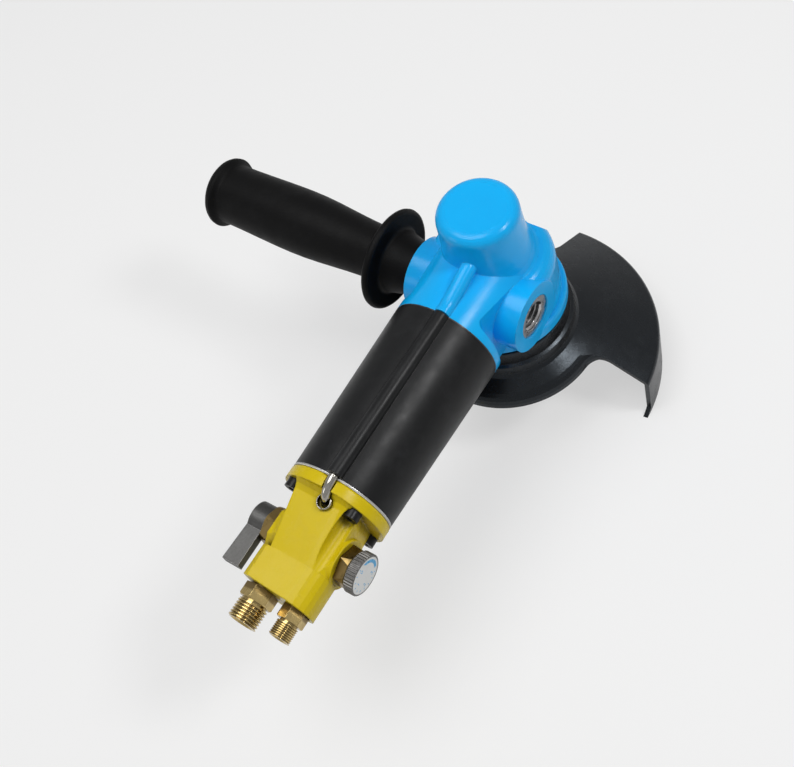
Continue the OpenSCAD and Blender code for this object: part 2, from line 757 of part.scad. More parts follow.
// Cylinder whose bore lies off the rotor's axis, with rows of inlet and outlet ports.
module motor_cylinder() {
  color("slategray") difference() {
    bar_x(cylinder_rear, cylinder_front, cylinder_ro);
    translate([0, 0, eccentricity]) bar_x(cylinder_rear - 1, cylinder_front + 1, cylinder_ri);
    for (side = [-1, 1]) {
      air_channel(side, cylinder_rear - 1, cylinder_front - 6);
      for (i = [0:4]) translate([cylinder_rear + 9 + i * (cylinder_len - 18) / 4.6, 0, axis_z])
        rotate([180 + side * port_angle, 0, 0]) cylinder(h = port_pcr, r = 1);
    }
  }
}

// End plate from x with the bore for a shaft and a bearing seat that is open at one side.
module end_plate(x, bore, seat_r, seat_x) {
  difference() {
    bar_x(x, x + plate_t, cylinder_ro);
    bar_x(x - 1, x + plate_t + 1, bore);
    bar_x(seat_x, seat_x + plate_t, seat_r + slip_gap);
  }
}

// Radius inside which a bearing's inner half turns.
function inner_half_r(ro, ri) = ri + (ro - ri) * 0.36;

module front_plate() {
  color("darkgray") end_plate(cylinder_front,
    inner_half_r(upper_bearing_ro, upper_bearing_ri) + free_gap, upper_bearing_ro, front_bearing_x);
}

module rear_plate() {
  color("darkgray") difference() {
    end_plate(plate_rear, inner_half_r(rear_bearing_ro, rear_bearing_ri) + free_gap,
      rear_bearing_ro, rear_bearing_x + rear_bearing_w - plate_t);
    for (side = [-1, 1]) air_channel(side, plate_rear - 1, cylinder_rear + 1);
  }
}

module rotor() {
  color("gray") difference() {
    union() {
      bar_x(rotor_rear, rotor_front, rotor_r);
      bar_x(rear_bearing_x, rotor_rear + 1, rear_bearing_ri);
      bar_x(rotor_front - 1, plate_front, upper_bearing_ri);
      bar_x(rear_bearing_x + rear_bearing_w, rotor_rear + 1, rear_bearing_ri + 1.2);
      bar_x(rotor_front - 1, front_bearing_x, upper_bearing_ri + 1.2);
      bar_x(plate_front - 1, shaft_nose, pinion_shaft_r);
    }
    for (i = [0:vane_count - 1]) rotate_on_motor(i * 360 / vane_count)
      translate([rotor_rear - 1, -vane_t / 2 - slip_gap, axis_z + rotor_r - vane_depth])
        cube([cylinder_len + 2, vane_t + 2 * slip_gap, vane_depth + 2]);
    keyway(plate_front + 3);
  }
}

module rotate_on_motor(a) {
  translate([0, 0, axis_z]) rotate([a, 0, 0]) translate([0, 0, -axis_z]) children();
}

// Five flat vanes, drawn in to the rotor's own radius.
module vanes() {
  color("saddlebrown") for (i = [0:vane_count - 1]) rotate_on_motor(i * 360 / vane_count)
    translate([rotor_rear + 0.1, -vane_t / 2, axis_z + rotor_r - vane_depth + 0.1])
      cube([rotor_front - rotor_rear - 0.2, vane_t, vane_depth - 0.2]);
}

// Key seat shared by rotor shaft, key and pinion.
key_w = 2;
key_len = 8;
module keyway(x) {
  translate([x, -key_w / 2 - slip_gap, axis_z + pinion_shaft_r - 1.2])
    cube([key_len + 2 * slip_gap, key_w + 2 * slip_gap, 2.4]);
}

module pinion_key() {
  color("gray") translate([plate_front + 3 + slip_gap, -key_w / 2, axis_z + pinion_shaft_r - 1.2 + slip_gap])
    cube([key_len, key_w, 2.2]);
}

// Involute function in degrees.
function involute(a) = tan(a) * 180 / PI - a;

// Half angle of a tooth at a radius of the unrolled back cone.
function tooth_half_angle(pitch, rho) =
  let (base = pitch * cos(pressure_angle),
    at_pitch = (PI * tooth_module / 2 - backlash) / 2 / pitch * 180 / PI)
  at_pitch + involute(pressure_angle) - involute(rho > base ? acos(base / rho) : 0);

// Point on the large end of a tooth: rho and half angle on the back cone, side is -1 or 1.
function tooth_point(cone, pitch, rho, side) =
  let (turn = side * tooth_half_angle(pitch, rho) / cos(cone), r = rho * cos(cone))
  [r * cos(turn), r * sin(turn), cone_len / cos(cone) - rho * sin(cone)];

// One bevel tooth with involute flanks, wide end to narrow end, drawn about +Z with its
// apex at the origin. It reaches a little below the root so that it joins its blank.
module bevel_tooth(cone, pitch_r) {
  pitch = pitch_r / cos(cone);
  root = pitch - tooth_foot - 0.35;
  tip = pitch + tooth_head;
  n = 4;
  radii = [for (i = [0:n]) root + (tip - root) * i / n];
  wide = concat([for (rho = radii) tooth_point(cone, pitch, rho, -1)],
    [for (rho = radii) tooth_point(cone, pitch, rho, 1)]);
  r = n + 1;
  s = 2 * r;
  polyhedron(points = concat(wide, [for (p = wide) p * tooth_scale]), faces = concat(
    [for (i = [0:n - 1]) [i, r + i, r + i + 1, i + 1]],
    [for (i = [0:n - 1]) [s + i, s + i + 1, s + r + i + 1, s + r + i]],
    [for (i = [0:n - 1]) [i, i + 1, s + i + 1, s + i]],
    [for (i = [0:n - 1]) [r + i + 1, r + i, s + r + i, s + r + i + 1]],
    [[r, 0, s, s + r], [n, r + n, s + r + n, s + n]]));
}

// Toothed cone with a body behind it: back and hub_end are distances from the apex.
module bevel_wheel(cone, pitch_r, teeth, body_r, back, hub_r, hub_end) {
  pitch = pitch_r / cos(cone);
  root = pitch - tooth_foot;
  root_r = root * cos(cone);
  root_a = cone_len / cos(cone) - root * sin(cone);
  rotate_extrude() polygon([[0, tooth_scale * root_a], [tooth_scale * root_r, tooth_scale * root_a],
    [root_r, root_a], [body_r, back], [hub_r, back], [hub_r, hub_end], [0, hub_end]]);
  for (i = [0:teeth - 1]) rotate([0, 0, i * 360 / teeth]) bevel_tooth(cone, pitch_r);
}

module bevel_gear() {
  color("dimgray") difference() {
    on_spindle_axis(0) mirror([0, 0, 1])
      bevel_wheel(gear_cone, gear_pitch_r, gear_teeth, gear_pitch_r - 1.5, gear_back,
        lower_bearing_ri + 3, -lower_bearing_top);
    on_spindle_axis(lower_bearing_top - 1) cylinder(h = -lower_bearing_top + 1, r = lower_bearing_ri + slip_gap);
    gear_key_seat();
  }
}

// Key between spindle and gear.
gear_key_len = 10;
gear_key_bottom = -(gear_back + 9);
module gear_key_seat() {
  translate([lower_bearing_ri - 1.5, -key_w / 2 - slip_gap, axis_z + gear_key_bottom])
    cube([2.7, key_w + 2 * slip_gap, gear_key_len + 2 * slip_gap]);
}

module gear_key() {
  color("gray") translate([lower_bearing_ri - 1.5 + slip_gap, -key_w / 2,
    axis_z + gear_key_bottom + slip_gap]) cube([2.5, key_w, gear_key_len]);
}

// Circlip above the gear.
gear_root = gear_pitch_r / cos(gear_cone) - tooth_foot;
circlip_z = -tooth_scale * (cone_len / cos(gear_cone) - gear_root * sin(gear_cone)) + slip_gap;
module gear_circlip() {
  color("dimgray") on_spindle_axis(circlip_z) difference() {
    cylinder(h = 1.2, r = lower_bearing_ri + 1.6);
    translate([0, 0, -1]) cylinder(h = 4, r = lower_bearing_ri - 0.7 + slip_gap);
    translate([lower_bearing_ri - 2, -1.5, -1]) cube([6, 3, 4]);
  }
}

// Hollow spindle: pad thread, seat flange, gear seat and upper journal.
module spindle() {
  seat_top = circlip_z + 2.4;
  color("gray") difference() {
    union() {
      translate([0, 0, -spindle_thread_len]) cylinder(h = spindle_thread_len + 1,
        r = spindle_thread_r);
      cylinder(h = axis_z + lower_bearing_bottom, r = pad_flange_r);
      cylinder(h = axis_z + seat_top, r = lower_bearing_ri);
      cylinder(h = axis_z + upper_bearing_bottom, r = upper_bearing_ri + 1);
      cylinder(h = axis_z + spindle_end, r = upper_bearing_ri);
    }
    translate([0, 0, -spindle_thread_len - 1])
      cylinder(h = 200, r = water_bore_r);
    gear_key_seat();
    on_spindle_axis(circlip_z - slip_gap) difference() {
      cylinder(h = 1.2 + 2 * slip_gap, r = lower_bearing_ri + 1);
      translate([0, 0, -1]) cylinder(h = 5, r = lower_bearing_ri - 0.7);
    }
    for (side = [-1, 1]) translate([-20, side > 0 ? pad_flange_r - 2 : -pad_flange_r - 8, 2])
      cube([40, 10, 5]);
  }
}

module bevel_pinion() {
  color("dimgray") difference() {
    on_motor_axis(0) mirror([0, 0, 1]) rotate([0, 0, 180 / pinion_teeth])
      bevel_wheel(pinion_cone, pinion_pitch_r, pinion_teeth, pinion_pitch_r, cone_len * cos(pinion_cone) + 3,
        pinion_tip_r - 0.6, -plate_front - slip_gap);
    bar_x(plate_front - 1, shaft_nose + 0.2, pinion_shaft_r + slip_gap);
    keyway(plate_front + 3);
  }
}

// Fibre gasket between the motor housing and the valve housing.
gasket_t = 0.5;
valve_boss_r = 11;
block_offset = 3;
flange_front = -tail_joint - gasket_t - slip_gap;
flange_back = flange_front - flange_t;
block_front = -tail_end + block_len;
neck_slope = atan((neck_top - block_top) / (flange_back - block_front));
neck_left = 9.4;
neck_spread = 0.09;
neck_right = 8.5;
neck_draw = 0.11;
neck_round = 8.5;
neck_rise = flange_r + 0.3 - neck_top;
block_edge = 6.5;
module tail_gasket() {
  color("whitesmoke") difference() {
    ring_x(-tail_joint - gasket_t, -tail_joint, sleeve_tail_r, cylinder_ro + 0.2);
    for (a = screw_angles()) on_motor_axis(-tail_joint - 1) screw_at(a)
      cylinder(h = 3, r = screw_r + 0.2);
    tube_route(tube_r + gap_in_cover);
  }
}

// Yellow casting: flange, tapering neck, wide rear block and two valve bosses.
module valve_housing() {
  color("gold") difference() {
    union() {
      on_motor_axis(flange_back) cylinder(h = flange_t - 0.8, r = flange_r);
      on_motor_axis(flange_front - 0.8) cylinder(h = 0.8, r1 = flange_r, r2 = flange_r - 0.5);
      bar_x(flange_front - 1, spigot_front, valve_spigot_r);
      valve_neck();
      valve_block();
      valve_boss(gland_left_y, 0, 8);
      valve_boss(-gland_right_y, 1, $fn);
    }
    // Throttle bore, water valve bore and the passages between them and the ports.
    along_y(valve_x, -throttle_r + 1.2, 0) cylinder(h = 60, r = throttle_r + run_gap);
    along_y(valve_x, gland_right_y - 10, 0)
      cylinder(h = -gland_right_y + 10 - throttle_r - 1, r = water_plug_r + run_gap);
    along_y(valve_x, gland_right_y - 3, 0) cylinder(h = 3, r = gland_af / 2 / cos(30) + 0.3);
    bar_x(-tail_joint + 3, 0, 11);
    on_motor_axis(valve_x) translate([0, 3, 0]) cylinder(h = 30, r = 4.5);
    fitting_port(air_y, air_thread_r + slip_gap - 0.8, 12.2, 4, air_hex_af);
    fitting_port(water_y, water_thread_r + slip_gap - 0.6, 10.2, 2.5, water_hex_af);
    translate([valve_x, water_y, axis_z]) water_passage();
    // Slot in the flange and bore for the water tube, with the seat of its ring.
    tube_route(tube_r + 0.35, 2);
    ferrule_place() cylinder(h = 12, r = ferrule_r + slip_gap);
    for (a = screw_angles()) on_motor_axis(flange_back - 40) screw_at(a) {
      cylinder(h = 60, r = screw_r + 0.2);
      cylinder(h = 40, r = screw_head_r + 0.4);
    }
    // Inlet channel into the hollow spigot, exhaust channel out to slots on the underside.
    air_channel(1, spigot_front - 7, 0);
    translate([spigot_front - 5, 0, axis_z]) rotate([180 + port_angle, 0, 0])
      cylinder(h = port_pcr, r = port_r);
    air_channel(-1, flange_back - 6.8, 0);
    for (i = [0, 1]) translate([flange_back - 2.8 - i * 3.4, -13, axis_z - 20]) cube([1.8, 17, 8]);
  }
}

// Neck from the flange to the block, with a hollow curve where it leaves the flange.
module valve_neck() {
  stations = concat([for (a = [0:30:90]) [flange_back + 0.5 - neck_fillet * (1 - cos(a)),
    neck_rise * (1 - sin(a))]], [[block_front - 0.5, 0]]);
  intersection() {
    for (i = [0:len(stations) - 2]) hull() {
      neck_slice(stations[i][0], stations[i][1]);
      neck_slice(stations[i + 1][0], stations[i + 1][1]);
    }
    bar_x(block_front - 1, flange_front - 1, flange_r - 0.05);
  }
}

// Thin slice of the neck at x, raised by so much over its straight slope.
module neck_slice(x, raise) {
  top = neck_top_at(x) + raise;
  left = neck_left + (x - block_front) * neck_spread;
  side_w = block_right - neck_right - (x - block_front) * neck_draw;
  on_motor_axis(x) linear_extrude(height = 0.2) polygon(concat(
    [[-top, left], [6 - top, left + 2], [top - 6, left + 2], [top, left]],
    [for (a = [0:18:90]) [top - neck_round * (1 - cos(a)), -neck_right - side_w * sin(a)]],
    [for (a = [90:-18:0]) [-top + neck_round * (1 - cos(a)), -neck_right - side_w * sin(a)]]));
}

function neck_top_at(x) = block_top + (x - block_front) * tan(neck_slope);

// Rear block: flat top, slope down to a blunt right side, rear face slanted in plan.
module valve_block() {
  t = block_top;
  side_w = block_right - block_edge;
  intersection() {
    on_motor_axis(-tail_end - 4) linear_extrude(height = block_len + 4) polygon(concat([
      [-t, block_left - 2.8], [2.4 - t, block_left], [t - 2.4, block_left], [t, block_left - 2.8]],
      [for (a = [0:15:90]) [t * cos(a) + 1.6 * sin(a), -block_edge - side_w * sin(a)]],
      [for (a = [90:-15:0]) [-t * cos(a) - 1.6 * sin(a), -block_edge - side_w * sin(a)]]));
    translate([-tail_end, -block_offset, 0]) rotate([0, 0, -block_skew])
      translate([0, -50, 0]) cube([60, 100, 2 * axis_z]);
  }
}

// Boss that a gland screws into: eight-sided on the left, round and mirrored on the right.
module valve_boss(reach, side, sides) {
  mirror([0, side, 0]) along_y(valve_x, 0, 0) rotate([0, 0, 22.5])
    cylinder(h = reach, r1 = valve_boss_r + 1, r2 = valve_boss_r, $fn = sides);
}

// Thread, bore and spot face for one inlet fitting.
module fitting_port(y, r_thread, depth, r_bore, hex_af) {
  on_motor_axis(-tail_end - 5) translate([0, y, 0]) {
    cylinder(h = depth + 5, r = r_thread);
    cylinder(h = tail_end + 5 + valve_x, r = r_bore);
    cylinder(h = 5, r = hex_af / 2 / cos(30) + 0.4);
  }
}

// Slanted passage from the water valve up to the tube's bore.
module water_passage() {
  target = [bend_x - tube_bend_r * sin(bend_angle) - valve_x, tube_y - water_y,
    tube_z - tube_bend_r * (1 - cos(bend_angle)) - 4];
  rotate([0, acos(target[2] / norm(target)), atan2(target[1], target[0])])
    cylinder(h = norm(target), r = 1.3);
}

module flange_screws() {
  color([0.12, 0.12, 0.13]) for (a = screw_angles()) on_motor_axis(flange_back - screw_head_h) screw_at(a)
    difference() {
      union() {
        cylinder(h = screw_head_h, r = screw_head_r);
        cylinder(h = screw_head_h + flange_t + 9, r = screw_r);
      }
      translate([0, 0, -1]) cylinder(h = 3, r = 1.7, $fn = 6);
    }
}

// Brass gland: hexagon and spigot, drawn along +Z with the hexagon above z = 0.
module gland(plug_r, spigot_len) {
  difference() {
    union() {
      rotate([0, 0, 30]) intersection() {
        cylinder(h = gland_t, r = gland_af / 2 / cos(30), $fn = 6);
        cylinder(h = gland_t, r1 = gland_af / 2 / cos(30), r2 = gland_af / 2 + 0.5);
      }
      translate([0, 0, -spigot_len]) cylinder(h = spigot_len + 1, r = plug_r);
    }
    translate([0, 0, -spigot_len - 1]) cylinder(h = spigot_len + gland_t + 2,
      r = stem_r + run_gap);
  }
}

gland_spigot = 4;
module throttle_gland() {
  color("peru") along_y(valve_x, gland_left_y + slip_gap, 0) gland(throttle_r, gland_spigot);
}

module water_gland() {
  color("peru") along_y(valve_x, gland_right_y - slip_gap, 0) mirror([0, 0, 1])
    gland(water_plug_r, gland_spigot);
}

// Rotary throttle: cross-drilled plug on a stem that carries the lever.
module throttle_plug() {
  plug_front = gland_left_y - gland_spigot - free_gap;
  color("silver") difference() {
    union() {
      along_y(valve_x, -throttle_r + 1.4, 0) cylinder(h = plug_front + throttle_r - 1.4,
        r = throttle_r);
      along_y(valve_x, 0, 0) cylinder(h = lever_y + lever_w - 1, r = stem_r);
    }
    translate([valve_x - 20, air_y - 1.5, axis_z]) rotate([0, 90, 0]) cylinder(h = 40, r = 3.2);
    stem_groove(gland_left_y + gland_t - 2.6);
    along_y(valve_x, lever_y + lever_w - 8, 0) cylinder(h = 10, r = 1.5 + slip_gap);
  }
}

// Groove for an O-ring in a stem, at y.
module stem_groove(y) {
  along_y(valve_x, y, 0) difference() {
    cylinder(h = 1.6, r = stem_r + 1);
    translate([0, 0, -1]) cylinder(h = 4, r = stem_r - 1.1);
  }
}

module stem_o_ring(y) {
  along_y(valve_x, y, 0) rotate_extrude() translate([stem_r - 0.62, 0])
    circle(r = 0.45, $fn = 24);
}

module throttle_o_ring() {
  color("black") stem_o_ring(gland_left_y + gland_t - 1.8);
}

// Lever with a round hub and a flat arm that points to the rear.
module throttle_lever() {
  arm_top = 5.2;
  color("silver") difference() {
    union() {
      along_y(valve_x, lever_y, 0) cylinder(h = lever_w, r = lever_hub_r);
      hull() {
        translate([valve_x - lever_hub_r + 2, lever_y, axis_z + arm_top - lever_t])
          cube([2, lever_w, lever_t]);
        translate([valve_x - lever_len, lever_y, axis_z + arm_top - lever_t])
          cube([1, lever_w + 1, lever_t - 0.6]);
      }
    }
    along_y(valve_x, lever_y - 1, 0) cylinder(h = lever_w, r = stem_r + slip_gap);
    along_y(valve_x, lever_y, 0) cylinder(h = lever_w + 1, r = 1.5 + slip_gap);
  }
}

module lever_screw() {
  color([0.15, 0.15, 0.15]) along_y(valve_x, lever_y + lever_w + slip_gap, 0) difference() {
    union() {
      cylinder(h = 1.8, r = 3.4);
      translate([0, 0, -7]) cylinder(h = 8, r = 1.5);
    }
    translate([0, 0, 0.8]) cylinder(h = 2, r = 1.2, $fn = 6);
  }
}

// Metering plug of the water valve, with its stem.
module water_plug() {
  inner = -throttle_r - 1.3;
  outer = gland_right_y + gland_spigot + free_gap;
  color("goldenrod") difference() {
    union() {
      along_y(valve_x, outer, 0) cylinder(h = inner - outer, r = water_plug_r);
      along_y(valve_x, knob_y - knob_t + 1.5, 0) cylinder(h = -knob_y + knob_t - 9, r = stem_r);
    }
    translate([valve_x - 20, water_y, axis_z]) rotate([0, 90, 0]) cylinder(h = 20, r = 2);
    translate([valve_x, water_y, axis_z]) water_passage();
    stem_groove(gland_right_y - gland_t + 1);
    along_y(valve_x, knob_y - knob_t, 0) cylinder(h = 8, r = 1.25 + slip_gap);
  }
}

module water_o_ring() {
  color("black") stem_o_ring(gland_right_y - gland_t + 1.8);
}

// Knurled knob with a recess for the dial.
dial_r = knob_r - 0.9;
module water_knob() {
  step = 360 / knurl_count;
  color("darkgray") along_y(valve_x, knob_y - knob_t, 0) difference() {
    intersection() {
      linear_extrude(height = knob_t) polygon([for (i = [0:knurl_count - 1], k = [0, 1, 2, 3])
        (knob_r - (k < 2 ? 0 : 0.4)) * [cos((i + k / 4) * step), sin((i + k / 4) * step)]]);
      rotate_extrude() polygon([[0, 0], [knob_r - 0.5, 0], [knob_r + 0.1, 0.5],
        [knob_r + 0.1, 1],
        [knob_r, knob_t - 0.7], [knob_r - 0.7, knob_t], [0, knob_t]]);
    }
    translate([0, 0, 1.5]) cylinder(h = knob_t, r = stem_r + slip_gap);
    translate([0, 0, -1]) cylinder(h = 4, r = 1.25 + slip_gap);
    translate([0, 0, -1]) cylinder(h = 1.9, r = dial_r + slip_gap);
  }
}

module knob_dial() {
  color("white") along_y(valve_x, knob_y - knob_t + 0.1, 0)
    cylinder(h = 0.7, r = dial_r);
}

// Screw under the dial that holds the knob on its stem.
module knob_screw() {
  color([0.15, 0.15, 0.15]) along_y(valve_x, knob_y - knob_t + 0.95, 0)
    cylinder(h = 7, r = 1.25);
}

// Threaded inlet fitting drawn along -Z: spigot above z = 0, hexagon and thread below.
module inlet_fitting(thread_r, thread_len, hex_af, bore_r, spigot_r, spigot_len) {
  difference() {
    union() {
      cylinder(h = spigot_len, r = spigot_r);
      translate([0, 0, -fitting_hex_t]) intersection() {
        cylinder(h = fitting_hex_t, r = hex_af / 2 / cos(30), $fn = 6);
        cylinder(h = fitting_hex_t, r1 = hex_af / 2 + 0.4, r2 = hex_af / 2 + 0.4 + fitting_hex_t);
      }
      translate([0, 0, -fitting_hex_t - 1]) cylinder(h = 2, r = thread_r - 0.8);
      translate([0, 0, -fitting_hex_t - 1 - thread_len]) cylinder(h = thread_len, r = thread_r);
    }
    translate([0, 0, -fitting_hex_t - thread_len - 2])
      cylinder(h = fitting_hex_t + thread_len + spigot_len + 3, r = bore_r);
    translate([0, 0, -fitting_hex_t - thread_len - 1 - small])
      cylinder(h = 1.2, r1 = bore_r + 1.2, r2 = bore_r);
  }
}

module air_fitting() {
  color("goldenrod") on_motor_axis(-tail_end - slip_gap) translate([0, air_y, 0])
    inlet_fitting(air_thread_r, air_thread_len - 1, air_hex_af, 4, air_thread_r - 0.8, 12);
}

module water_fitting() {
  color("goldenrod") on_motor_axis(-tail_end - slip_gap) translate([0, water_y, 0])
    inlet_fitting(water_thread_r, water_thread_len - 1, water_hex_af, 2.5,
      water_thread_r - 0.6, 10);
}

// Grip profile: neck, hand guard disc, swelling grip and end bulb, radius over length.
module handle_grip() {
  disc_y = neck_len;
  grip_y = disc_y + disc_t;
  waist_y = handle_len - bulb_len;
  flare_len = 3;
  dome_w = 8;
  mid_y = grip_y + (waist_y - grip_y) * 0.55;
  color([0.1, 0.1, 0.1]) along_y(-boss_back, boss_reach + 0.1, -boss_drop) difference() {
    rotate_extrude() polygon(concat(
      [[0, 0], [neck_r, 0], [neck_r + 3.4, disc_y - 2]],
      [for (a = [0:22.5:90]) [neck_r + 5.4 - 2 * cos(a), disc_y - 2 + 2 * sin(a)]],
      [for (a = [-90:30:90]) [disc_r - disc_t / 2 + disc_t / 2 * cos(a),
        disc_y + disc_t / 2 + disc_t / 2 * sin(a)]],
      [for (a = [0:22.5:90]) [grip_r0 + 3 - 3 * sin(a), grip_y + 3 * (1 - cos(a))]],
      [for (i = [1:6]) [grip_r0 + (grip_r1 - grip_r0) * (1 - cos(i * 30)) / 2,
        grip_y + 3 + (mid_y - grip_y - 3) * i / 6]],
      [for (i = [1:6]) [grip_r1 + (grip_r2 - grip_r1) * (1 - cos(i * 30)) / 2,
        mid_y + (waist_y - mid_y) * i / 6]],
      [for (i = [1:4]) [grip_r2 + (bulb_r - grip_r2) * (1 - cos(i * 45)) / 2,
        waist_y + flare_len * i / 4]],
      [for (a = [0:15:90]) [bulb_r - dome_w * (1 - cos(a)),
        waist_y + flare_len + (bulb_len - flare_len) * sin(a)]],
      [[0, handle_len]]));
    translate([0, 0, -1]) cylinder(h = core_end + 1.5, r = core_r + slip_gap);
    translate([0, 0, -1]) cylinder(h = 3, r = handle_thread_r + slip_gap);
    translate([0, 0, core_end - 1]) cylinder(h = handle_len, r = end_screw_r + 0.5);
    translate([0, 0, handle_len - end_screw_depth]) cylinder(h = 30, r = end_screw_head_r + 0.6);
  }
}

// Steel core: thread in the head and rod in the grip.
module handle_core() {
  color("gray") along_y(-boss_back, boss_reach + 0.1, -boss_drop) difference() {
    union() {
      translate([0, 0, -handle_thread_len - seat_recess + 0.8])
        cylinder(h = handle_thread_len + seat_recess + 0.8, r = handle_thread_r - run_gap);
      cylinder(h = core_end, r = core_r);
    }
    translate([0, 0, core_end - 16]) cylinder(h = 20, r = end_screw_r);
  }
}

// Screw that holds the grip on its core.
module handle_end_screw() {
  color([0.15, 0.15, 0.15]) along_y(-boss_back, boss_reach + 0.1, -boss_drop)
    translate([0, 0, handle_len - end_screw_depth]) difference() {
      union() {
        cylinder(h = 2 * end_screw_r, r = end_screw_head_r);
        translate([0, 0, -end_screw_len]) cylinder(h = end_screw_len + 1, r = end_screw_r - slip_gap);
      }
      translate([0, 0, end_screw_r - 0.4]) cylinder(h = 4, r = end_screw_r, $fn = 6);
    }
}

// Height of the guard's sloping top at a radius.
function cone_z(r) = skirt_foot_z - (r - foot_r) * tan(slope);

// Radius at which the slope starts to bend down to an edge.
function bend_start(edge, bend) = edge - bend * (1 - sin(slope));

// Section of the guard's wall: rim, bend and a length of slope. The edge lies at place and
// the wall goes inward from it (way -1) or outward (way 1); the heights suit the given edge.
module wall_section(edge, bend, bottom, run, place, way) {
  z = cone_z(bend_start(edge, bend)) - bend * cos(slope);
  angles = [for (i = [0:4]) 90 - (90 - slope) * i / 4];
  end_r = bend * (1 - sin(slope)) + run * cos(slope);
  end_z = z + bend * cos(slope) + run * sin(slope);
  inner = bend - guard_t;
  polygon(concat([[place, bottom]],
    [for (a = angles) [place + way * bend * (1 - sin(a)), z + bend * cos(a)]],
    [[place + way * end_r, end_z],
      [place + way * (end_r + guard_t * sin(slope)), end_z - guard_t * cos(slope)]],
    [for (i = [4:-1:0]) [place + way * (bend - inner * sin(angles[i])), z + inner * cos(angles[i])]],
    [[place + way * guard_t, bottom]]));
}

// Stepped collar with the start of the slope.
module guard_collar() {
  end_r = bend_start(skirt_r, skirt_bend);
  polygon([[collar_inner_r, collar_top], [collar_r, collar_top],
    [collar_r, collar_bottom], [collar_r + 1.6, collar_bottom - 0.8],
    [collar_r + 2.2, skirt_foot_z + 1.6], [foot_r, skirt_foot_z], [end_r, cone_z(end_r)],
    [end_r - guard_t * sin(slope), cone_z(end_r) - guard_t * cos(slope)],
    [foot_r - guard_t * sin(slope), skirt_foot_z - guard_t * cos(slope)],
    [collar_inner_r + 1.6, skirt_foot_z - guard_t + 1.6],
    [collar_inner_r + 1.6, neck_bottom + free_gap], [collar_inner_r, neck_bottom + free_gap]]);
}

module splash_guard() {
  half = sector_angle / 2;
  turn = half + asin(corner_r / (skirt_r + corner_r));
  run = (bend_start(sector_r, rim_bend) - bend_start(skirt_r, skirt_bend)) / cos(slope) + 1;
  rim_bottom = -sector_drop - rim_h;
  color([0.1, 0.1, 0.1]) rotate([0, 0, -guard_turn]) on_spindle_axis(0) {
    rotate_extrude() guard_collar();
    rotate([0, 0, turn]) rotate_extrude(angle = 360 - 2 * turn)
      wall_section(skirt_r, skirt_bend, -skirt_drop, 1, skirt_r, -1);
    difference() {
      intersection() {
        rotate_extrude() wall_section(sector_r, rim_bend, rim_bottom, run, sector_r, -1);
        translate([0, 0, -150]) linear_extrude(height = 200) sector_plan(half, turn);
      }
      for (side = [0, 1]) mirror([0, side, 0]) rotate([0, 0, turn])
        translate([skirt_r + corner_r, 0, 0]) rotate_extrude() corner_cut();
    }
    for (side = [0, 1]) mirror([0, side, 0]) {
      guard_corner(turn);
      rim_corner(half, rim_bottom);
    }
  }
}

// Plan of the sector, straight at its sides, with the room of the hollow corners taken out.
module sector_plan(half, turn) {
  centre = (skirt_r + corner_r) * [cos(turn), sin(turn)];
  side_point = centre + corner_r * [sin(half), -cos(half)];
  far = 200 * [cos(half), sin(half)];
  polygon([[0, 0], [centre[0], -centre[1]], [side_point[0], -side_point[1]],
    [side_point[0] + far[0], -side_point[1] - far[1]], [side_point[0] + far[0], side_point[1] + far[1]],
    side_point, centre]);
}

// Space above and inside the bend of a hollow corner, about the corner's own axis.
module corner_cut() {
  z = cone_z(bend_start(skirt_r, skirt_bend)) - skirt_bend * cos(slope);
  polygon(concat([[0, 50], [0, -150], [corner_r, -150]],
    [for (i = [0:4]) let (a = 90 - (90 - slope) * i / 4)
      [corner_r + skirt_bend * (1 - sin(a)), z + skirt_bend * cos(a)]],
    [[corner_r + skirt_bend * (1 - sin(slope)), 50]]));
}

// Wall of a hollow corner, kept below the guard's slope.
module guard_corner(turn) {
  intersection() {
    rotate([0, 0, turn]) translate([skirt_r + corner_r, 0, 0]) rotate([0, 0, 180])
      rotate_extrude(angle = 90 - turn + sector_angle / 2)
        wall_section(skirt_r, skirt_bend, -skirt_drop, 1, corner_r, 1);
    rotate_extrude() polygon([[0, -150], [0, cone_z(0)], [sector_r, -sector_drop], [sector_r, -150]]);
  }
}

// Low point at the end of the sector's rim.
module rim_corner(half, bottom) {
  point_h = 3;
  intersection() {
    translate([0, 0, -axis_z]) ring_z(bottom, bottom + point_h, sector_r, sector_r - guard_t);
    rotate([0, 0, half]) translate([sector_r / 2, 0, bottom]) rotate([90, 0, 90])
      linear_extrude(height = sector_r) polygon([[-1, 0], [rim_point, 0], [0, point_h], [-1, point_h]]);
  }
}

head_cover();
gear_housing();
lower_bearing_outer();
upper_bearing_outer();
bearing_cap();
spindle_seal();
water_cap();
water_seal();
cap_o_ring();
water_tube();
tube_ferrule();
motor_housing();
rubber_sleeve();
motor_cylinder();
front_plate();
rear_plate();
front_bearing_outer();
rear_bearing_outer();
tail_gasket();
valve_housing();
flange_screws();
throttle_gland();
water_gland();
air_fitting();
water_fitting();
handle_grip();
handle_core();
handle_end_screw();
splash_guard();
spindle();
bevel_gear();
gear_key();
gear_circlip();
lower_bearing_inner();
upper_bearing_inner();
rotor();
vanes();
bevel_pinion();
pinion_key();
front_bearing_inner();
rear_bearing_inner();
throttle_lever();
throttle_plug();
throttle_o_ring();
lever_screw();
water_knob();
knob_dial();
water_plug();
water_o_ring();
knob_screw();
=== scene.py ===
"""Looks of the air polisher: camera, floor and lights, finishes, threads and the dial's print."""

import json
import math

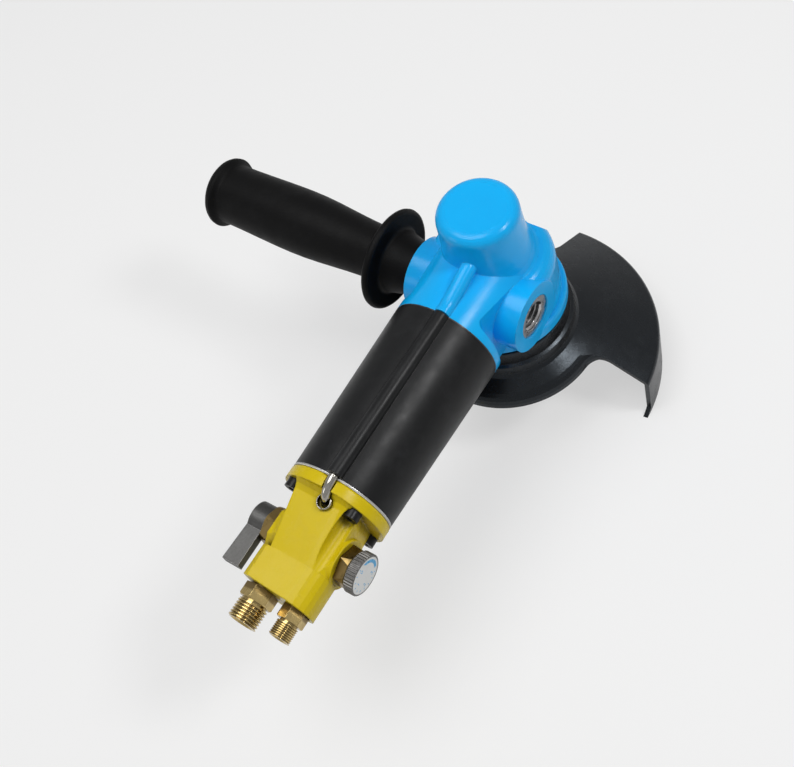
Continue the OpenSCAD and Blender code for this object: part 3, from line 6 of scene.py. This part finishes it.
import bmesh
import bpy
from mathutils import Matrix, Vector


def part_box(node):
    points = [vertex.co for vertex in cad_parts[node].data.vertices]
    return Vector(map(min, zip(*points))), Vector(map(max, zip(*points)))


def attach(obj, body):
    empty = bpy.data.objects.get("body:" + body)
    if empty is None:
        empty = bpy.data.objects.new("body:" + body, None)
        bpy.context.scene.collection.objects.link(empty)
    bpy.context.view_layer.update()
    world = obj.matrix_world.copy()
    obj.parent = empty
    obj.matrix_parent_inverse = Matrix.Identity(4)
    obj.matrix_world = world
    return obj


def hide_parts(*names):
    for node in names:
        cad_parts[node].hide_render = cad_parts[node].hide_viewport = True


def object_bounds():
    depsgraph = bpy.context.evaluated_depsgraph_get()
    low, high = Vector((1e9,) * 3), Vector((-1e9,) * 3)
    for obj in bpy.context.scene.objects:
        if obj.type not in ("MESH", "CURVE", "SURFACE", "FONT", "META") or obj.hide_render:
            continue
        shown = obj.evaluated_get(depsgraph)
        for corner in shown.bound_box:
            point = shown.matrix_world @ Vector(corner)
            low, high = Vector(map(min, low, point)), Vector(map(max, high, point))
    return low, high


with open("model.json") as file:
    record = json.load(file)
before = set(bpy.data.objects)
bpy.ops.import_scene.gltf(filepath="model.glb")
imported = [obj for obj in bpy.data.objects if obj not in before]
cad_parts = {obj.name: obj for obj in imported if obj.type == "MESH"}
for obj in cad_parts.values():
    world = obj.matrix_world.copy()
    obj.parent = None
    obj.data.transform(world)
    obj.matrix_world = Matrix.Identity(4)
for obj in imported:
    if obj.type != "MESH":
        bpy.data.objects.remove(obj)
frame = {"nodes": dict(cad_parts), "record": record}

CAD_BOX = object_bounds()
MM = 0.001

# Camera: place in metres, turn in degrees, lens in millimetres on a 36 mm sensor
CAMERA_PLACE = (-0.2417, -0.2296, 0.5164)
CAMERA_TURN = (29.789, 12.332, -57.463)
CAMERA_LENS = 57.037
CAMERA_SHIFT = (-0.01904, 0.00612)

# How bright the background is where it is seen
SHOWN_LEVEL = 0.85

# Axes that the CAD frame gives
AXIS_Z = 0.055
VALVE_X = -0.1496
HANDLE_AXIS = (-0.0132, 0.0538)

# Pipe threads of the inlet fittings: side offset, outer radius, pitch and length, all in mm
INLET_THREADS = {
    "air_fitting": (6.3, 6.58, 1.337, 8.5),
    "water_fitting": (-11.5, 4.86, 0.907, 6.5),
}
# Spindle and handle thread M14 x 2
M14_RADIUS = 7.0 * MM
M14_PITCH = 2.0 * MM


def set_range(node, low, high, to_low, to_high):
    """The two ranges of a map range node."""
    node.inputs["From Min"].default_value = low
    node.inputs["From Max"].default_value = high
    node.inputs["To Min"].default_value = to_low
    node.inputs["To Max"].default_value = to_high


class Finish:
    """One procedural material: short names for the nodes that the finishes below share."""

    def __init__(self, name, colour, roughness, metallic=0.0, specular=0.5):
        self.material = bpy.data.materials.new(name)
        self.material.use_nodes = True
        self.tree = self.material.node_tree
        self.shader = self.tree.nodes["Principled BSDF"]
        self.colour = (*colour, 1.0)
        self.roughness = roughness
        self.set("Base Color", self.colour)
        self.set("Roughness", roughness)
        self.set("Metallic", metallic)
        self.set("Specular IOR Level", specular)
        self.place = self.node("ShaderNodeTexCoord").outputs["Object"]

    def node(self, kind, settings=(), **values):
        """A node with its settings, and its inputs set to values or linked to other outputs."""
        made = self.tree.nodes.new(kind)
        for name, value in dict(settings).items():
            setattr(made, name, value)
        for name, value in values.items():
            self.put(made.inputs[name.replace("_", " ")], value)
        return made

    def put(self, socket, value):
        if isinstance(value, bpy.types.NodeSocket):
            self.tree.links.new(value, socket)
        else:
            socket.default_value = value

    def stretched(self, x, y, z):
        """Coordinates with their own scale along each axis."""
        mapping = self.node("ShaderNodeMapping", Vector=self.place)
        mapping.inputs["Scale"].default_value = (x, y, z)
        return mapping.outputs["Vector"]

    def noise(self, scale, detail=3.0, roughness=0.5, place=None):
        place = place or self.place
        made = self.node("ShaderNodeTexNoise", Vector=place, Scale=scale, Detail=detail)
        made.inputs["Roughness"].default_value = roughness
        return made.outputs["Fac"]

    def level(self, value, low, high, to_low=0.0, to_high=1.0):
        """value from low to high, taken to the range to_low to to_high and held there."""
        made = self.node("ShaderNodeMapRange", Value=value)
        set_range(made, low, high, to_low, to_high)
        return made.outputs["Result"]

    def times(self, a, b):
        made = self.node("ShaderNodeMath", {"operation": "MULTIPLY"})
        self.put(made.inputs[0], a)
        self.put(made.inputs[1], b)
        return made.outputs[0]

    def mixed(self, factor, a, b):
        """Colour a where factor is 0 and colour b where it is 1."""
        made = self.node("ShaderNodeMix", {"data_type": "RGBA"})
        self.put(made.inputs["Factor"], factor)
        self.put(made.inputs[6], a)
        self.put(made.inputs[7], b)
        return made.outputs[2]

    def edges(self, radius, low=0.02, high=0.16):
        """1 along edges and 0 on open faces."""
        soft = self.node("ShaderNodeBevel", {"samples": 6}, Radius=radius).outputs["Normal"]
        flat = self.node("ShaderNodeNewGeometry").outputs["Normal"]
        dot = self.node("ShaderNodeVectorMath", {"operation": "DOT_PRODUCT"})
        self.put(dot.inputs[0], soft)
        self.put(dot.inputs[1], flat)
        return self.level(dot.outputs["Value"], 1.0 - low, 1.0 - high)

    def corners(self, distance, low=0.85, high=0.35):
        """1 in tight corners and 0 on open faces: where dust lies, and where the darker finishes
        paint shade.
        """
        shade = self.node("ShaderNodeAmbientOcclusion", {"samples": 6}, Distance=distance)
        return self.level(shade.outputs["AO"], low, high)

    def set(self, name, value):
        """One plain value of the shader."""
        self.shader.inputs[name].default_value = value

    def tint(self, *layers):
        """Colours laid over the base colour, each as (factor, colour)."""
        colour = self.colour
        for factor, over in layers:
            colour = self.mixed(factor, colour, (*over, 1.0))
        self.put(self.shader.inputs["Base Color"], colour)

    def rough(self, value, spread):
        """Roughness that varies with value, 0 to 1, by spread either way."""
        low, high = self.roughness - spread, self.roughness + spread
        self.put(self.shader.inputs["Roughness"], self.level(value, 0.2, 0.8, low, high))

    def relief(self, *heights, soften=0.0):
        """Bumps, each as (height, depth in metres), over edges softened by a radius."""
        normal = None
        if soften:
            normal = self.node("ShaderNodeBevel", {"samples": 6}, Radius=soften).outputs["Normal"]
        for height, depth in heights:
            bump = self.node("ShaderNodeBump", Height=height, Distance=depth)
            bump.inputs["Strength"].default_value = 1.0
            if normal:
                self.put(bump.inputs["Normal"], normal)
            normal = bump.outputs["Normal"]
        self.put(self.shader.inputs["Normal"], normal)


def cover_blue():
    """Moulded blue cover: satin, fine grain, a little dust in its corners and rubbed edges."""
    f = Finish("cover_blue", (0.004, 0.45, 0.94), 0.20, specular=0.25)
    cloud = f.noise(45, 4)
    speck = f.level(f.noise(1500, 2), 0.72, 0.78)
    dust = f.times(f.corners(0.006), f.level(f.noise(700, 4, 0.7), 0.45, 0.7))
    f.tint(
        (f.level(cloud, 0.35, 0.75, 0.0, 0.35), (0.006, 0.36, 0.82)),
        (f.times(speck, 0.25), (0.25, 0.6, 0.9)),
        (f.times(dust, 0.14), (0.40, 0.56, 0.64)),
        (f.times(f.edges(0.0006), 0.18), (0.12, 0.55, 0.92)),
    )
    f.rough(f.noise(300, 5), 0.05)
    f.relief((f.noise(2600, 2), 0.000015), (f.noise(160, 2), 0.00005), soften=0.0006)
    return f.material


def black_polymer(name, colour, roughness, specular, grain, scuffs, sheen=(1.0, 1.0, 1.0)):
    """Black rubber or plastic: grain, handling marks and grey dust in its corners."""
    soften = 0.0005
    f = Finish(name, colour, roughness, specular=specular)
    f.set("Specular Tint", (*sheen, 1.0))
    wear = f.times(f.level(f.noise(90, 6, 0.65), 0.5, 0.75), scuffs)
    streak = f.level(f.noise(60, 5, 0.7, f.stretched(1, 9, 9)), 0.6, 0.8)
    f.tint(
        (wear, (0.035, 0.036, 0.038)),
        (f.times(streak, scuffs * 0.5), (0.05, 0.05, 0.052)),
        (f.times(f.corners(0.004), 0.25), (0.05, 0.048, 0.042)),
        (f.times(f.edges(soften), 0.35), (0.045, 0.046, 0.05)),
    )
    f.rough(f.noise(120, 6, 0.6), 0.08)
    f.relief((f.noise(3200, 2), grain), (f.noise(140, 3), 0.00005), soften=soften)
    return f.material


def sleeve_rubber():
    return black_polymer("sleeve_rubber", (0.007, 0.0073, 0.008), 0.38, 0.22, 0.000015, 0.25)


def grip_black():
    return black_polymer("grip_black", (0.003, 0.003, 0.0032), 0.5, 0.10, 0.00005, 0.08)


def guard_black():
    return black_polymer("guard_black", (0.0045, 0.0045, 0.005), 0.26, 0.42, 0.00002, 0.22,
                         sheen=(0.78, 0.89, 1.0))


def seal_rubber():
    return black_polymer("seal_rubber", (0.012, 0.012, 0.012), 0.5, 0.4, 0.00002, 0.1)


def yellow_paint():
    """Yellow enamel on a casting: orange peel, dirt and painted shade in the corners, paler rubbed
    edges.
    """
    f = Finish("yellow_paint", (0.66, 0.50, 0.004), 0.26, specular=0.22)
    dirt_and_painted_shade = f.times(f.corners(0.007, 0.75, 0.4), f.level(f.noise(500, 5, 0.7), 0.25, 0.55))
    f.tint(
        (f.level(f.noise(70, 4), 0.4, 0.75, 0.0, 0.4), (0.61, 0.45, 0.006)),
        (f.times(f.level(f.noise(1300, 3), 0.62, 0.72), 0.15), (0.5, 0.37, 0.02)),
        # Dirt and painted shade: corners darkened nearly to black, in patches
        (f.times(dirt_and_painted_shade, 0.85), (0.05, 0.035, 0.008)),
        (f.times(f.edges(0.0005), 0.3), (0.80, 0.65, 0.10)),
    )
    f.rough(f.noise(200, 5), 0.08)
    f.relief((f.noise(650, 2), 0.00003), (f.noise(110, 2), 0.00010), soften=0.0008)
    return f.material


def turned_metal(name, colour, dark, roughness, tarnish, lines, metallic=1.0, specular=0.5):
    """Machined metal: fine tool marks, stain in patches, painted shade in corners, bright edges.
    """
    soften = 0.0003
    f = Finish(name, colour, roughness, metallic, specular)
    patch = f.level(f.noise(150, 6, 0.65), 0.42, 0.68)
    marks = f.noise(1.0, 2, 0.5, f.stretched(*lines))
    f.tint(
        (f.times(patch, tarnish), dark),
        (f.times(f.level(marks, 0.35, 0.65), 0.15), dark),
        # Painted shade: corners darkened
        (f.times(f.corners(0.003), 0.6), tuple(0.35 * c for c in dark)),
        (f.times(f.edges(soften), 0.6), tuple(min(1.0, 1.25 * c) for c in colour)),
    )
    f.rough(patch, 0.08)
    f.relief((marks, 0.00001), (f.noise(900, 3), 0.00001), soften=soften)
    return f.material


def brass():
    """Brass, bright on the threads behind the hexagons and dull elsewhere."""
    thread_start = -0.1779
    f = Finish("brass", (0.66, 0.50, 0.21), 0.24, metallic=1.0)
    along = f.node("ShaderNodeSeparateXYZ", Vector=f.place).outputs["X"]
    dull = f.level(along, thread_start - 0.0004, thread_start + 0.0004)
    patch = f.level(f.noise(260, 6, 0.7), 0.38, 0.66)
    f.tint(
        (f.times(dull, 0.9), (0.20, 0.135, 0.048)),
        (f.times(patch, 0.55), (0.24, 0.165, 0.06)),
        # Painted shade: corners darkened
        (f.times(f.corners(0.003), 0.6), (0.07, 0.045, 0.016)),
        (f.times(f.edges(0.0002), 0.5), (0.80, 0.64, 0.32)),
    )
    f.rough(f.times(f.level(patch, 0.0, 1.0, 0.45, 1.0), f.level(dull, 0.0, 1.0, 0.45, 1.0)), 0.16)
    f.relief((f.noise(1100, 4), 0.00002), soften=0.0002)
    return f.material


def cast_alloy():
    return turned_metal("cast_alloy", (0.56, 0.56, 0.57), (0.26, 0.26, 0.26), 0.34, 0.4,
                        (400, 9000, 400))


def housing_alloy():
    """Turned barrel: bright at the tail, with painted shade darkening it towards the head, between
    the sleeve and the cover.
    """
    f = Finish("housing_alloy", (0.66, 0.66, 0.67), 0.34, metallic=1.0)
    along = f.node("ShaderNodeSeparateXYZ", Vector=f.place).outputs["X"]
    patch = f.level(f.noise(400, 5, 0.65), 0.35, 0.6)
    f.tint(
        (f.times(patch, 0.5), (0.30, 0.30, 0.30)),
        # Painted shade: darker towards the head end, in the gap between sleeve and cover
        (f.level(along, -0.10, -0.06, 0.0, 0.85), (0.06, 0.06, 0.062)),
        # Painted shade: corners darkened
        (f.times(f.corners(0.003), 0.5), (0.10, 0.10, 0.10)),
    )
    f.rough(patch, 0.08)
    f.relief((f.noise(900, 3), 0.00001), soften=0.0003)
    return f.material


def bright_tube():
    return turned_metal("bright_tube", (0.50, 0.48, 0.44), (0.16, 0.14, 0.11), 0.16, 0.6,
                        (300, 2000, 2000))


def bearing_steel():
    return turned_metal("bearing_steel", (0.62, 0.63, 0.64), (0.35, 0.35, 0.36), 0.2, 0.2,
                        (300, 300, 9000))


def plain_steel():
    return turned_metal("plain_steel", (0.50, 0.50, 0.51), (0.24, 0.23, 0.22), 0.3, 0.35,
                        (400, 400, 9000))


def motor_iron():
    return turned_metal("motor_iron", (0.34, 0.345, 0.35), (0.18, 0.18, 0.18), 0.42, 0.4,
                        (9000, 300, 300))


def black_screw():
    return turned_metal("black_screw", (0.005, 0.005, 0.0055), (0.012, 0.011, 0.009), 0.36, 0.4,
                        (2000, 2000, 2000), metallic=0.0, specular=0.25)


def lever_metal():
    """Cast and plated lever: sandy skin, bright rubbed edges."""
    f = Finish("lever_metal", (0.095, 0.094, 0.092), 0.42, metallic=0.9)
    sand = f.noise(1100, 5, 0.7)
    f.tint(
        (f.level(f.noise(120, 5, 0.6), 0.4, 0.7, 0.0, 0.5), (0.075, 0.074, 0.071)),
        (f.times(f.level(sand, 0.45, 0.6), 0.35), (0.06, 0.058, 0.055)),
        # Painted shade: corners darkened
        (f.times(f.corners(0.004), 0.5), (0.04, 0.036, 0.03)),
        (f.times(f.edges(0.0004), 0.85), (0.62, 0.61, 0.60)),
    )
    f.rough(sand, 0.1)
    f.relief((sand, 0.00003), (f.noise(200, 3), 0.00005), soften=0.0005)
    return f.material


def knob_metal():
    """Knurled knob: dull plating, painted shade between the ridges."""
    f = Finish("knob_metal", (0.17, 0.165, 0.16), 0.38, metallic=0.9)
    f.tint(
        (f.level(f.noise(300, 5, 0.6), 0.4, 0.7, 0.0, 0.5), (0.10, 0.097, 0.09)),
        # Painted shade: darker between the ridges
        (f.times(f.corners(0.0015), 0.75), (0.022, 0.02, 0.018)),
        (f.times(f.edges(0.0002), 0.5), (0.45, 0.44, 0.42)),
    )
    f.rough(f.noise(500, 4), 0.1)
    f.relief((f.noise(1400, 4), 0.00002), soften=0.0002)
    return f.material


def dial_white():
    """Glossy white dial with faint handling marks."""
    f = Finish("dial_white", (0.76, 0.77, 0.76), 0.16, specular=0.5)
    f.tint(
        (f.level(f.noise(180, 5, 0.6), 0.5, 0.8, 0.0, 0.3), (0.62, 0.63, 0.62)),
        # Painted shade: corners greyed
        (f.times(f.corners(0.001), 0.5), (0.3, 0.3, 0.29)),
    )
    f.rough(f.noise(400, 4), 0.06)
    f.relief((f.noise(900, 2), 0.000005), soften=0.0002)
    return f.material


def dial_print():
    """Pale blue print on the dial."""
    f = Finish("dial_print", (0.05, 0.36, 0.68), 0.3, specular=0.4)
    f.tint((f.level(f.noise(2500, 3), 0.55, 0.8, 0.0, 0.5), (0.3, 0.55, 0.75)))
    f.rough(f.noise(900, 3), 0.08)
    f.relief((f.noise(4000, 2), 0.000003))
    return f.material


def fibre(name, colour, dark, lines):
    """Pressed or laminated fibre: fine streaks and specks."""
    f = Finish(name, colour, 0.7, specular=0.3)
    streak = f.noise(1.0, 4, 0.6, f.stretched(*lines))
    f.tint(
        (f.level(streak, 0.35, 0.7, 0.0, 0.7), dark),
        (f.times(f.level(f.noise(1800, 2), 0.6, 0.7), 0.3), tuple(0.5 * c for c in dark)),
    )
    f.rough(streak, 0.08)
    f.relief((streak, 0.00002))
    return f.material


def gasket_fibre():
    return fibre("gasket_fibre", (0.62, 0.61, 0.56), (0.42, 0.41, 0.37), (400, 1800, 1800))


def vane_fibre():
    return fibre("vane_fibre", (0.20, 0.11, 0.05), (0.10, 0.05, 0.02), (300, 6000, 6000))


FINISHES = {made.__name__: made() for made in (
    cover_blue, cast_alloy, housing_alloy, bearing_steel, seal_rubber, brass, bright_tube,
    sleeve_rubber, motor_iron, gasket_fibre, yellow_paint, black_screw, grip_black, plain_steel,
    vane_fibre, guard_black, lever_metal, knob_metal, dial_white, dial_print)}


def paint(piece, finish):
    """One finish over the whole piece."""
    piece.data.materials.clear()
    piece.data.materials.append(FINISHES[finish])


def new_piece(name, mesh, body, slot, finish=None):
    """A piece of the scene's own, riding on a CAD body."""
    piece = bpy.data.objects.new(name, mesh)
    bpy.context.scene.collection.objects.link(piece)
    paint(piece, finish or slot)
    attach(piece, body)
    return piece


def smooth_with_edges(mesh, angle=32.0):
    """Smooth faces with sharp edges wherever two faces turn by more than angle."""
    form = bmesh.new()
    form.from_mesh(mesh)
    for face in form.faces:
        face.smooth = True
    for edge in form.edges:
        if len(edge.link_faces) == 2:
            edge.smooth = edge.calc_face_angle(0.0) < math.radians(angle)
    form.to_mesh(mesh)
    form.free()


def helix(name, start, along, across, pitch, turns, outline):
    """Closed right-hand ridge or cutter round a line: outline holds (radius, shift) points."""
    steps = 48
    along = Vector(along).normalized()
    across = Vector(across).normalized()
    side = along.cross(across)
    form = bmesh.new()
    rings = []
    for i in range(int(turns * steps) + 1):
        turn = 2 * math.pi * i / steps
        out = across * math.cos(turn) + side * math.sin(turn)
        middle = Vector(start) + along * (pitch * i / steps)
        rings.append([form.verts.new(middle + out * r + along * s) for r, s in outline])
    count = len(outline)
    for low, high in zip(rings, rings[1:]):
        for k in range(count):
            form.faces.new((low[k], low[(k + 1) % count], high[(k + 1) % count], high[k]))
    form.faces.new(rings[0])
    form.faces.new(rings[-1])
    bmesh.ops.recalc_face_normals(form, faces=form.faces)
    mesh = bpy.data.meshes.new(name)
    form.to_mesh(mesh)
    form.free()
    return mesh


def thread_cutter(start, along, across, radius, pitch, length):
    """Cutter for the groove of an outside thread, flat at the root and proud of the crests."""
    flank = math.radians(28)
    depth = 0.5 * pitch
    root = 0.07 * pitch
    proud = 0.03 * MM
    wide = root + (depth + proud) * math.tan(flank)
    outline = [(radius - depth, root), (radius + proud, wide),
               (radius + proud, -wide), (radius - depth, -root)]
    return helix("groove", start, along, across, pitch, length / pitch, outline)


def threaded(node, cut, body, slot):
    """A copy of a CAD node with a thread groove cut into its round wall."""
    mesh = frame["nodes"][node].data.copy()
    form = bmesh.new()
    form.from_mesh(mesh)
    bmesh.ops.remove_doubles(form, verts=form.verts, dist=1e-7)
    form.to_mesh(mesh)
    form.free()
    for name in [a.name for a in mesh.attributes if a.name in ("custom_normal", "sharp_face")]:
        mesh.attributes.remove(mesh.attributes[name])
    piece = new_piece(node + "_threaded", mesh, body, slot)
    cutter = bpy.data.objects.new("groove", thread_cutter(*cut))
    bpy.context.scene.collection.objects.link(cutter)
    carve = piece.modifiers.new("thread", "BOOLEAN")
    carve.operation = "DIFFERENCE"
    carve.solver = "EXACT"
    carve.object = cutter
    seen = piece.evaluated_get(bpy.context.evaluated_depsgraph_get())
    carved = bpy.data.meshes.new_from_object(seen)
    piece.modifiers.clear()
    piece.data = carved
    bpy.data.objects.remove(cutter)
    smooth_with_edges(piece.data)
    paint(piece, slot)
    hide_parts(node)
    return piece


def add_camera():
    """The camera that the photo's perspective gave."""
    data = bpy.data.cameras.new("camera")
    data.sensor_fit = "HORIZONTAL"
    data.sensor_width = 36.0
    data.lens = CAMERA_LENS
    data.shift_x, data.shift_y = CAMERA_SHIFT
    data.clip_start = 0.01
    camera = bpy.data.objects.new("camera", data)
    camera.location = CAMERA_PLACE
    camera.rotation_euler = [math.radians(a) for a in CAMERA_TURN]
    bpy.context.scene.collection.objects.link(camera)
    bpy.context.scene.camera = camera


def seen_directly(tree, mirrored=0.4):
    """1 for rays from the camera, and mirrored for those that show a reflection or pass glass."""
    path = tree.nodes.new("ShaderNodeLightPath")
    total = path.outputs["Is Camera Ray"]
    for name in ("Is Glossy Ray", "Is Transmission Ray"):
        part = tree.nodes.new("ShaderNodeMath")
        part.operation = "MULTIPLY_ADD"
        part.inputs[1].default_value = mirrored
        tree.links.new(path.outputs[name], part.inputs[0])
        tree.links.new(total, part.inputs[2])
        total = part.outputs[0]
    return total


def ranged(tree, value, low, high, to_low, to_high):
    """value from low to high, eased over to the range to_low to to_high."""
    made = tree.nodes.new("ShaderNodeMapRange")
    made.interpolation_type = "SMOOTHSTEP"
    set_range(made, low, high, to_low, to_high)
    tree.links.new(value, made.inputs["Value"])
    return made.outputs["Result"]


def add_world():
    """Even, soft light from all round, shown as a pale background."""
    light_level = 0.20
    world = bpy.data.worlds.new("studio")
    bpy.context.scene.world = world
    world.use_nodes = True
    tree = world.node_tree
    background = tree.nodes["Background"]
    background.inputs["Color"].default_value = (1.0, 1.0, 1.0, 1.0)
    level = tree.nodes.new("ShaderNodeMapRange")
    level.inputs["To Min"].default_value = light_level
    level.inputs["To Max"].default_value = SHOWN_LEVEL
    tree.links.new(seen_directly(tree), level.inputs["Value"])
    tree.links.new(level.outputs["Result"], background.inputs["Strength"])


def add_floor():
    """Plain pale floor under the part, which takes its shadow and fades to the background."""
    size = 40.0
    gap = 0.0002
    glow_near = 0.55
    fade = (0.5, 2.5)
    material = bpy.data.materials.new("floor")
    material.use_nodes = True
    tree = material.node_tree
    matt = tree.nodes["Principled BSDF"]
    matt.inputs["Base Color"].default_value = (0.80, 0.80, 0.80, 1.0)
    matt.inputs["Roughness"].default_value = 0.9
    matt.inputs["Specular IOR Level"].default_value = 0.1
    glow = tree.nodes.new("ShaderNodeEmission")
    glow.inputs["Color"].default_value = (1.0, 1.0, 1.0, 1.0)
    away = tree.nodes.new("ShaderNodeVectorMath")
    away.operation = "LENGTH"
    tree.links.new(tree.nodes.new("ShaderNodeTexCoord").outputs["Object"], away.inputs[0])
    strength = ranged(tree, away.outputs["Value"], *fade, 1.0, SHOWN_LEVEL)
    tree.links.new(strength, glow.inputs["Strength"])
    share = tree.nodes.new("ShaderNodeMath")
    share.operation = "MULTIPLY"
    tree.links.new(seen_directly(tree), share.inputs[0])
    tree.links.new(ranged(tree, away.outputs["Value"], *fade, glow_near, 1.0), share.inputs[1])
    mix = tree.nodes.new("ShaderNodeMixShader")
    tree.links.new(share.outputs[0], mix.inputs["Fac"])
    tree.links.new(matt.outputs["BSDF"], mix.inputs[1])
    tree.links.new(glow.outputs["Emission"], mix.inputs[2])
    tree.links.new(mix.outputs["Shader"], tree.nodes["Material Output"].inputs["Surface"])
    bpy.ops.mesh.primitive_plane_add(size=size, location=(-0.05, 0.03, CAD_BOX[0][2] - gap))
    floor = bpy.context.object
    floor.name = "floor"
    floor.data.materials.append(material)


def add_lamp(name, direction, distance, size, power):
    """Square soft lamp at a distance in a direction, aimed at the middle of the part."""
    aim = Vector((-0.06, 0.02, 0.05))
    data = bpy.data.lights.new(name, "AREA")
    data.shape = "SQUARE"
    data.size = size
    data.energy = power
    lamp = bpy.data.objects.new(name, data)
    away = Vector(direction).normalized()
    lamp.location = aim + away * distance
    lamp.rotation_euler = away.to_track_quat("Z", "Y").to_euler()
    bpy.context.scene.collection.objects.link(lamp)


def add_stage():
    """Camera, background, floor and lamps."""
    bpy.context.scene.view_settings.view_transform = "Standard"
    add_camera()
    add_world()
    add_floor()
    add_lamp("key", (0.28, -0.60, 0.75), 1.1, 0.24, 4.2)
    add_lamp("top", (-0.10, 0.20, 1.0), 1.2, 0.8, 8.2)
    add_lamp("left", (-0.75, 0.55, 0.30), 1.1, 0.35, 0.8)


def paint_frame():
    """Every CAD node gets the finish of its material slot."""
    for part in frame["record"]["subparts"]:
        paint(frame["nodes"][part["node"]], part["material_slot"])


def add_fittings():
    """The two inlet fittings with their pipe threads."""
    run_out = 0.9
    for node, sizes in INLET_THREADS.items():
        y, radius, pitch, length = [size * MM for size in sizes]
        start = (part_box(node)[0][0] - pitch, y, AXIS_Z)
        cut = (start, (1, 0, 0), (0, 1, 0), radius, pitch, length + run_out * pitch)
        threaded(node, cut, "tool", "brass")


def add_spindle():
    """The spindle with its thread for the pad."""
    length = 18.0 * MM
    run_out = 0.3
    start = (0, 0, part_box("spindle")[0][2] - M14_PITCH)
    cut = (start, (0, 0, 1), (1, 0, 0), M14_RADIUS, M14_PITCH, length + run_out * M14_PITCH)
    threaded("spindle", cut, "spindle", "plain_steel")


def add_handle_thread():
    """Thread inside the free handle hole on the right."""
    mouth_y = -27.5 * MM
    turns = 3.6
    crest = M14_RADIUS - 0.9 * MM
    foot = M14_RADIUS + 0.04 * MM
    crest_half = 0.05 * M14_PITCH
    foot_half = 0.42 * M14_PITCH
    outline = [(foot, foot_half), (crest, crest_half), (crest, -crest_half), (foot, -foot_half)]
    start = (HANDLE_AXIS[0], mouth_y, HANDLE_AXIS[1])
    mesh = helix("handle_thread", start, (0, 1, 0), (1, 0, 0), M14_PITCH, turns, outline)
    smooth_with_edges(mesh)
    new_piece("handle_thread", mesh, "tool", "cast_alloy", "plain_steel")


def flat_mesh(name, outlines, thickness, place):
    """Thin raised prints: outlines lie in the dial's plane, seen from the right of the tool."""
    form = bmesh.new()
    for outline in outlines:
        back, front = [[form.verts.new((place[0] + u, place[1] - out, place[2] + v))
                        for u, v in outline] for out in (0.0, thickness)]
        form.faces.new(back)
        form.faces.new(front)
        for i in range(len(outline)):
            form.faces.new((back[i - 1], back[i], front[i], front[i - 1]))
    bmesh.ops.recalc_face_normals(form, faces=form.faces)
    mesh = bpy.data.meshes.new(name)
    form.to_mesh(mesh)
    form.free()
    return mesh


def arc(radius, start, end, steps):
    """Points on an arc, angles in degrees."""
    angles = [math.radians(start + (end - start) * i / steps) for i in range(steps + 1)]
    return [(radius * math.cos(a), radius * math.sin(a)) for a in angles]


def add_dial_print():
    """Wedge that shows opening, ticks and plain numbers 0 to 3; angles in degrees."""
    place = (VALVE_X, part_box("knob_dial")[0][1], AXIS_Z)
    thick = 0.03 * MM
    radius = 7.4 * MM
    reach = radius - 2.6 * MM
    tick_length = 0.9 * MM
    tick_half = 0.16 * MM
    tick_count = 10
    number_count = 4
    number_size = 3.0 * MM
    first = 95
    sweep = 215
    wedge = arc(radius, -30, 75, 24) + arc(0.80 * radius, 62, -30, 24)
    ticks = []
    for i in range(tick_count):
        angle = math.radians(first + sweep * i / (tick_count - 1))
        out = Vector((math.cos(angle), math.sin(angle)))
        side = Vector((-out.y, out.x)) * tick_half
        inner = out * (radius - tick_length)
        ticks.append([tuple(inner + side), tuple(inner - side), tuple(out * radius - side),
                      tuple(out * radius + side)])
    mesh = flat_mesh("dial_marks", [wedge] + ticks, thick, place)
    new_piece("dial_marks", mesh, "knob", "dial_white", "dial_print")
    for i in range(number_count):
        angle = math.radians(first + sweep * i / (number_count - 1))
        curve = bpy.data.curves.new(f"dial_number_{i}", "FONT")
        curve.body = str(i)
        curve.size = number_size
        curve.align_x = "CENTER"
        curve.align_y = "CENTER"
        curve.extrude = thick / 2
        number = bpy.data.objects.new(f"dial_number_{i}", curve)
        number.location = (place[0] + reach * math.cos(angle), place[1] - thick / 2,
                           place[2] + reach * math.sin(angle))
        number.rotation_euler = (math.radians(90), 0, 0)
        bpy.context.scene.collection.objects.link(number)
        paint(number, "dial_print")
        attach(number, "knob")


add_stage()
paint_frame()
add_fittings()
add_spindle()
add_handle_thread()
add_dial_print()
